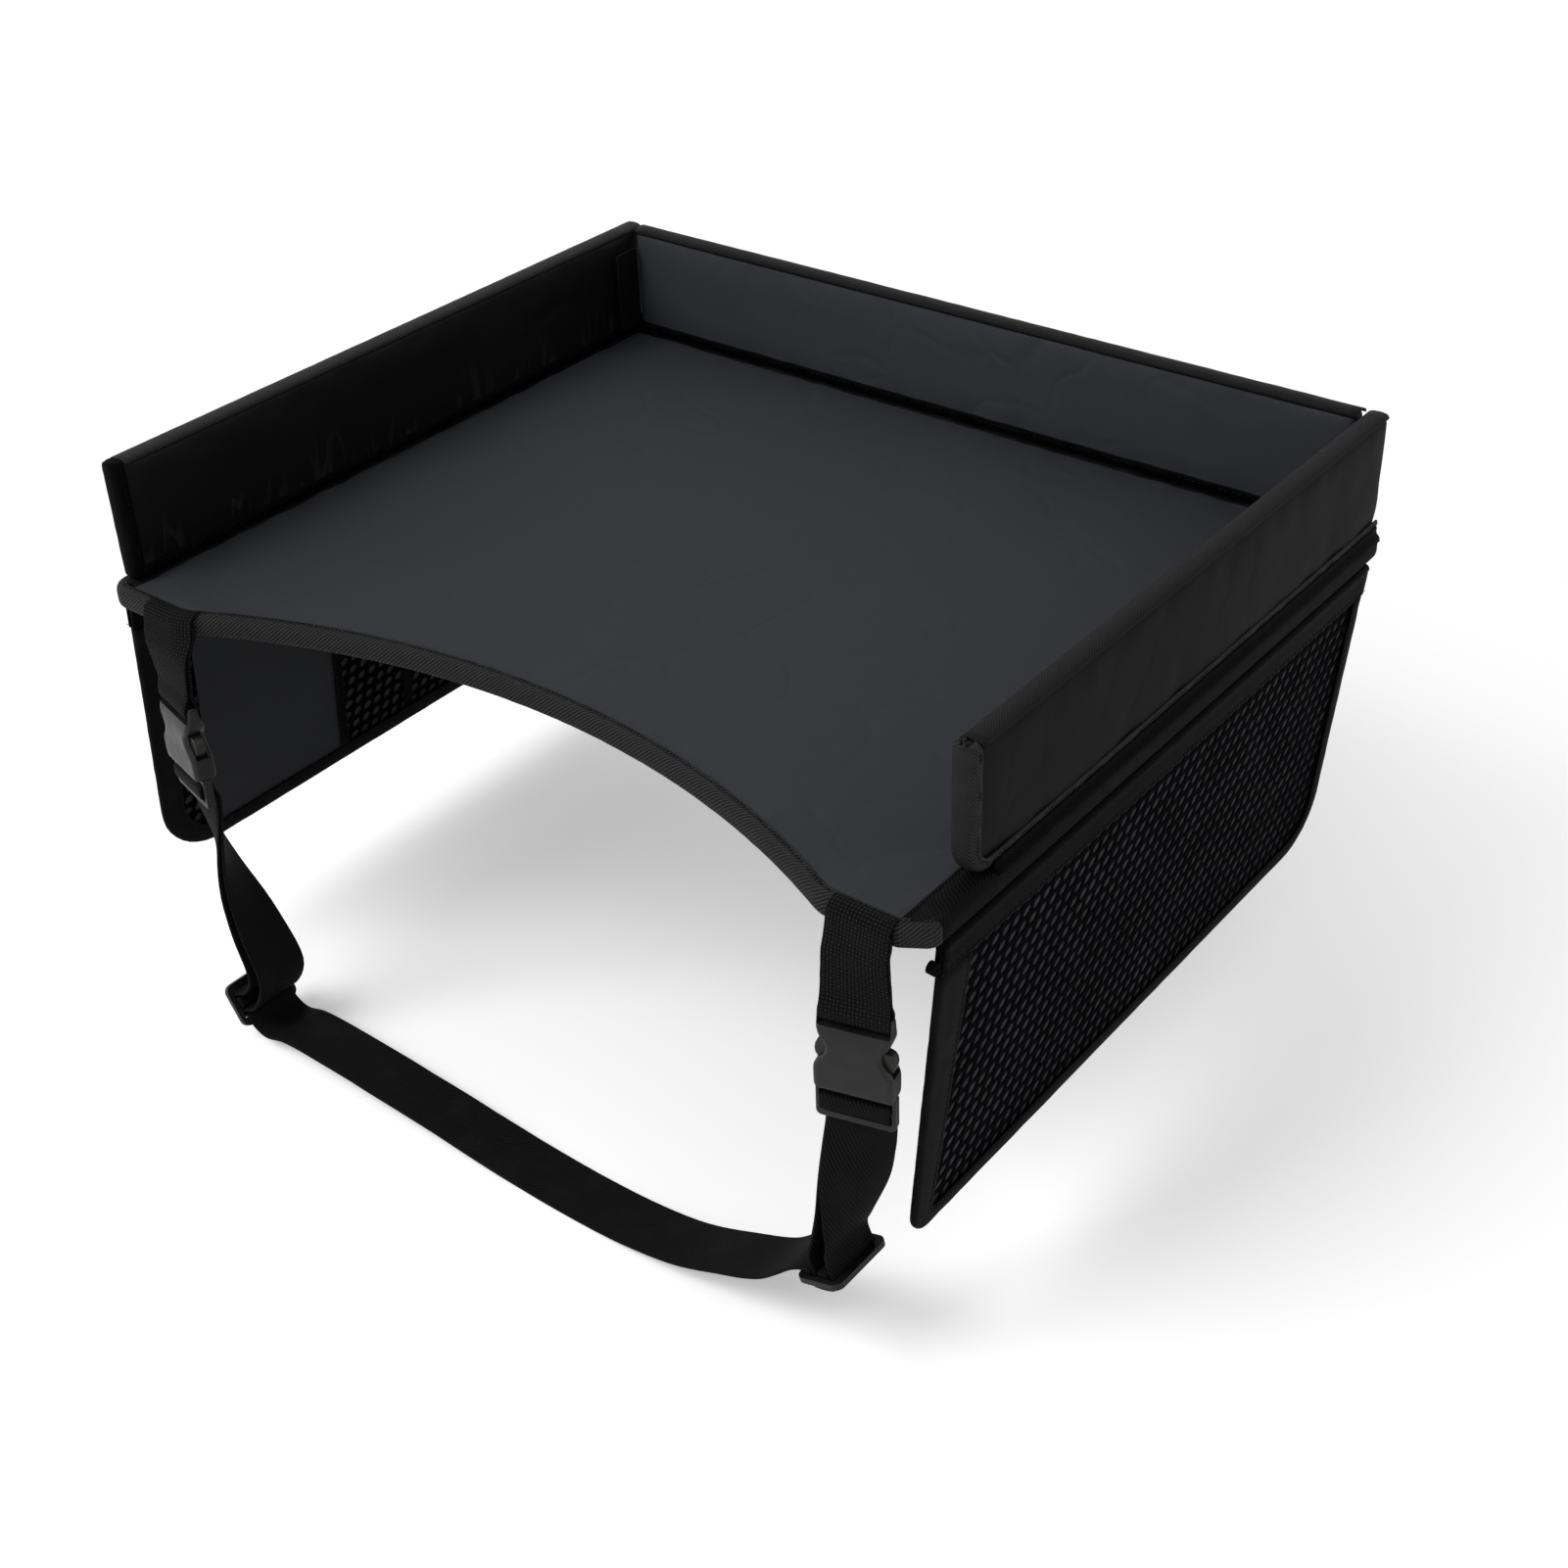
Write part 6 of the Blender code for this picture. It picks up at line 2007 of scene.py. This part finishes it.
def sewSeams(body, rows):
    points = []
    edges = []
    directions = []
    for row, outward in rows:
        edges += [(index, index + 1) for index in range(len(points), len(points) + len(row) - 1)]
        points += [tuple(Vector(point) + Vector(outward) * stitchLook["lift"]) for point in row]
        directions += [value for point in row for value in outward]
    mesh = bpy.data.meshes.new(body + "Stitches")
    mesh.from_pydata(points, edges, [])
    mesh.attributes.new("outward", "FLOAT_VECTOR", "POINT")
    mesh.attributes["outward"].data.foreach_set("vector", directions)
    mesh.materials.append(darkThread)
    piece = runNodes(addObject(body + "Stitches", mesh), stitchNodes, stitchInputs)
    dress(piece, body, "twill_tape")
    print(body, "has", len(piece.data.polygons) // 30, "stitches")


def tableSeams():
    skin, inset = stitchLook["skin"], stitchLook["inset"]
    front = frontRun(edgeTapeLook["frontLeg"] - inset)
    sides = sideBackRun(edgeTapeLook["sideLeg"] - inset)
    top = [(x, y, tableShape["thickness"] - skin) for x, y in front]
    under = [[(x, y, skin) for x, y in run] for run in (front, sides)]
    return [(top, (0, 0, 1))] + [(row, (0, 0, -1)) for row in under]


def wallSeams(side, wall):
    rows = []
    inwards = Vector(onWall(side, 0.0, 1.0, 0.0)) - Vector(onWall(side, 0.0, 0.0, 0.0))
    for way in (-1.0, 1.0):
        depth = wallMiddle + (wallMiddle - stitchLook["wallSkin"]) * way
        run = wallRun(wall, wallLook["tapeLeg"] - stitchLook["inset"], depth)[5 if wall["bound"] else 0 :]
        rows.append(([onWall(side, a, d, h) for a, d, h in run], inwards * way))
    return rows


def flapSeams(side):
    shape, inset, apart = flapShape, stitchLook["inset"], stitchLook["apart"]
    half = shape["half"]
    edge = flapRun(side, shape["leg"] - inset, (shape["frontLegTop"] - inset, shape["frontLegLow"] - inset))
    hem = [(y, shape["hem"] - stitchLook["hem"]) for y in evenly(flaps[side]["front"], shape["back"], 40)]
    seams = [(line, half * way, way) for line in (edge, hem) for way in (1, -1)]
    if side == "left":
        for y, level, inner in uprightTapes.values():
            for shift in (-apart, apart):
                seams.append(([(y + shift, u) for u in evenly(*stitchLook["upright"], 20)], level, -1))
    outward = Vector(onFlap(side, 0.0, 0.0, 1.0)) - Vector(onFlap(side, 0.0, 0.0, 0.0))
    return [([onFlap(side, y, u, t) for y, u in line], outward * way) for line, t, way in seams]


sewSeams("table", tableSeams())
for side, wall in walls.items():
    sewSeams(side + "_wall", wallSeams(side, wall))
for side in flaps:
    sewSeams(side + "_flap", flapSeams(side))
print("seams sewn")


# Boards keep their CAD shape.
for name in ("table_board", "left_wall_board", "right_wall_board", "back_wall_board"):
    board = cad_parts[name]
    board.data.materials.clear()
    board.data.materials.append(boardFibre)


# Floor, background and lamps.
studio = {
    "floorHeight": -0.1888,
    "floorHalf": 3.0,
    "floorColour": grey(0.97),
    "floorFade": (0.3, 0.62),
    "floorGlow": 0.32,
    "floorRoughness": 0.9,
    "floorGloss": 0.1,
    "ambient": 0.5,
    "white": grey(1.0),
    "lamps": {"key lamp": ((-0.7, -1.3, 1.5), 1.1, 26.0), "rim lamp": ((1.5, 0.4, 0.9), 0.9, 2.5)},
}


def addLamp(name, place, size, power):
    lamp = addObject(name, bpy.data.lights.new(name, "AREA"))
    lamp.data.shape = "SQUARE"
    lamp.data.size = size
    lamp.data.energy = power
    lamp.location = place
    lamp.rotation_euler = (-Vector(place)).to_track_quat("-Z", "Y").to_euler()


def buildFloor():
    recipe = {"roughness": studio["floorRoughness"], "gloss": studio["floorGloss"]}
    material, tree, shader = startMaterial("pale floor", recipe)
    seen = addNode(tree, "ShaderNodeLightPath").outputs["Is Camera Ray"]
    glow = calc(tree, "MULTIPLY", seen, studio["floorGlow"])
    plugIn(tree, shader, {"Base Color": studio["floorColour"], "Emission Color": studio["white"]})
    plugIn(tree, shader, {"Emission Strength": glow})
    far = ramp(tree, vectorCalc(tree, "LENGTH", whereOn(tree)), *studio["floorFade"])
    white = addNode(tree, "ShaderNodeEmission", inputs={"Color": studio["white"], "Strength": 1.0})
    share = calc(tree, "MULTIPLY", far, seen)
    inputs = {0: share, 1: shader.outputs[0], 2: white.outputs[0]}
    mixed = addNode(tree, "ShaderNodeMixShader", inputs=inputs)
    # From below, the floor lets the camera see the object's underside.
    under = addNode(tree, "ShaderNodeNewGeometry").outputs["Backfacing"]
    clear = addNode(tree, "ShaderNodeBsdfTransparent")
    inputs = {0: under, 1: mixed.outputs[0], 2: clear.outputs[0]}
    mixed = addNode(tree, "ShaderNodeMixShader", inputs=inputs)
    plugIn(tree, tree.nodes["Material Output"], {"Surface": mixed.outputs[0]})
    half, z = studio["floorHalf"], studio["floorHeight"]
    corners = [(-half, -half, z), (half, -half, z), (half, half, z), (-half, half, z)]
    meshPiece("floor", corners, [(0, 1, 2, 3)], [material], turnOut=False)


def buildWorld():
    # The background is white where it is seen, mirrored or looked at through something, and dimmer as light.
    world = bpy.data.worlds.new("studio")
    world.use_nodes = True
    bpy.context.scene.world = world
    tree = world.node_tree
    path = addNode(tree, "ShaderNodeLightPath").outputs
    seen = calc(tree, "MAXIMUM", path["Is Camera Ray"], path["Is Transmission Ray"])
    seen = calc(tree, "MAXIMUM", seen, path["Is Glossy Ray"])
    strength = blendValue(tree, seen, studio["ambient"], 1.0)
    plugIn(tree, tree.nodes["Background"], {"Color": studio["white"], "Strength": strength})


buildFloor()
buildWorld()
for name, (place, size, power) in studio["lamps"].items():
    addLamp(name, place, size, power)
print("studio ready")
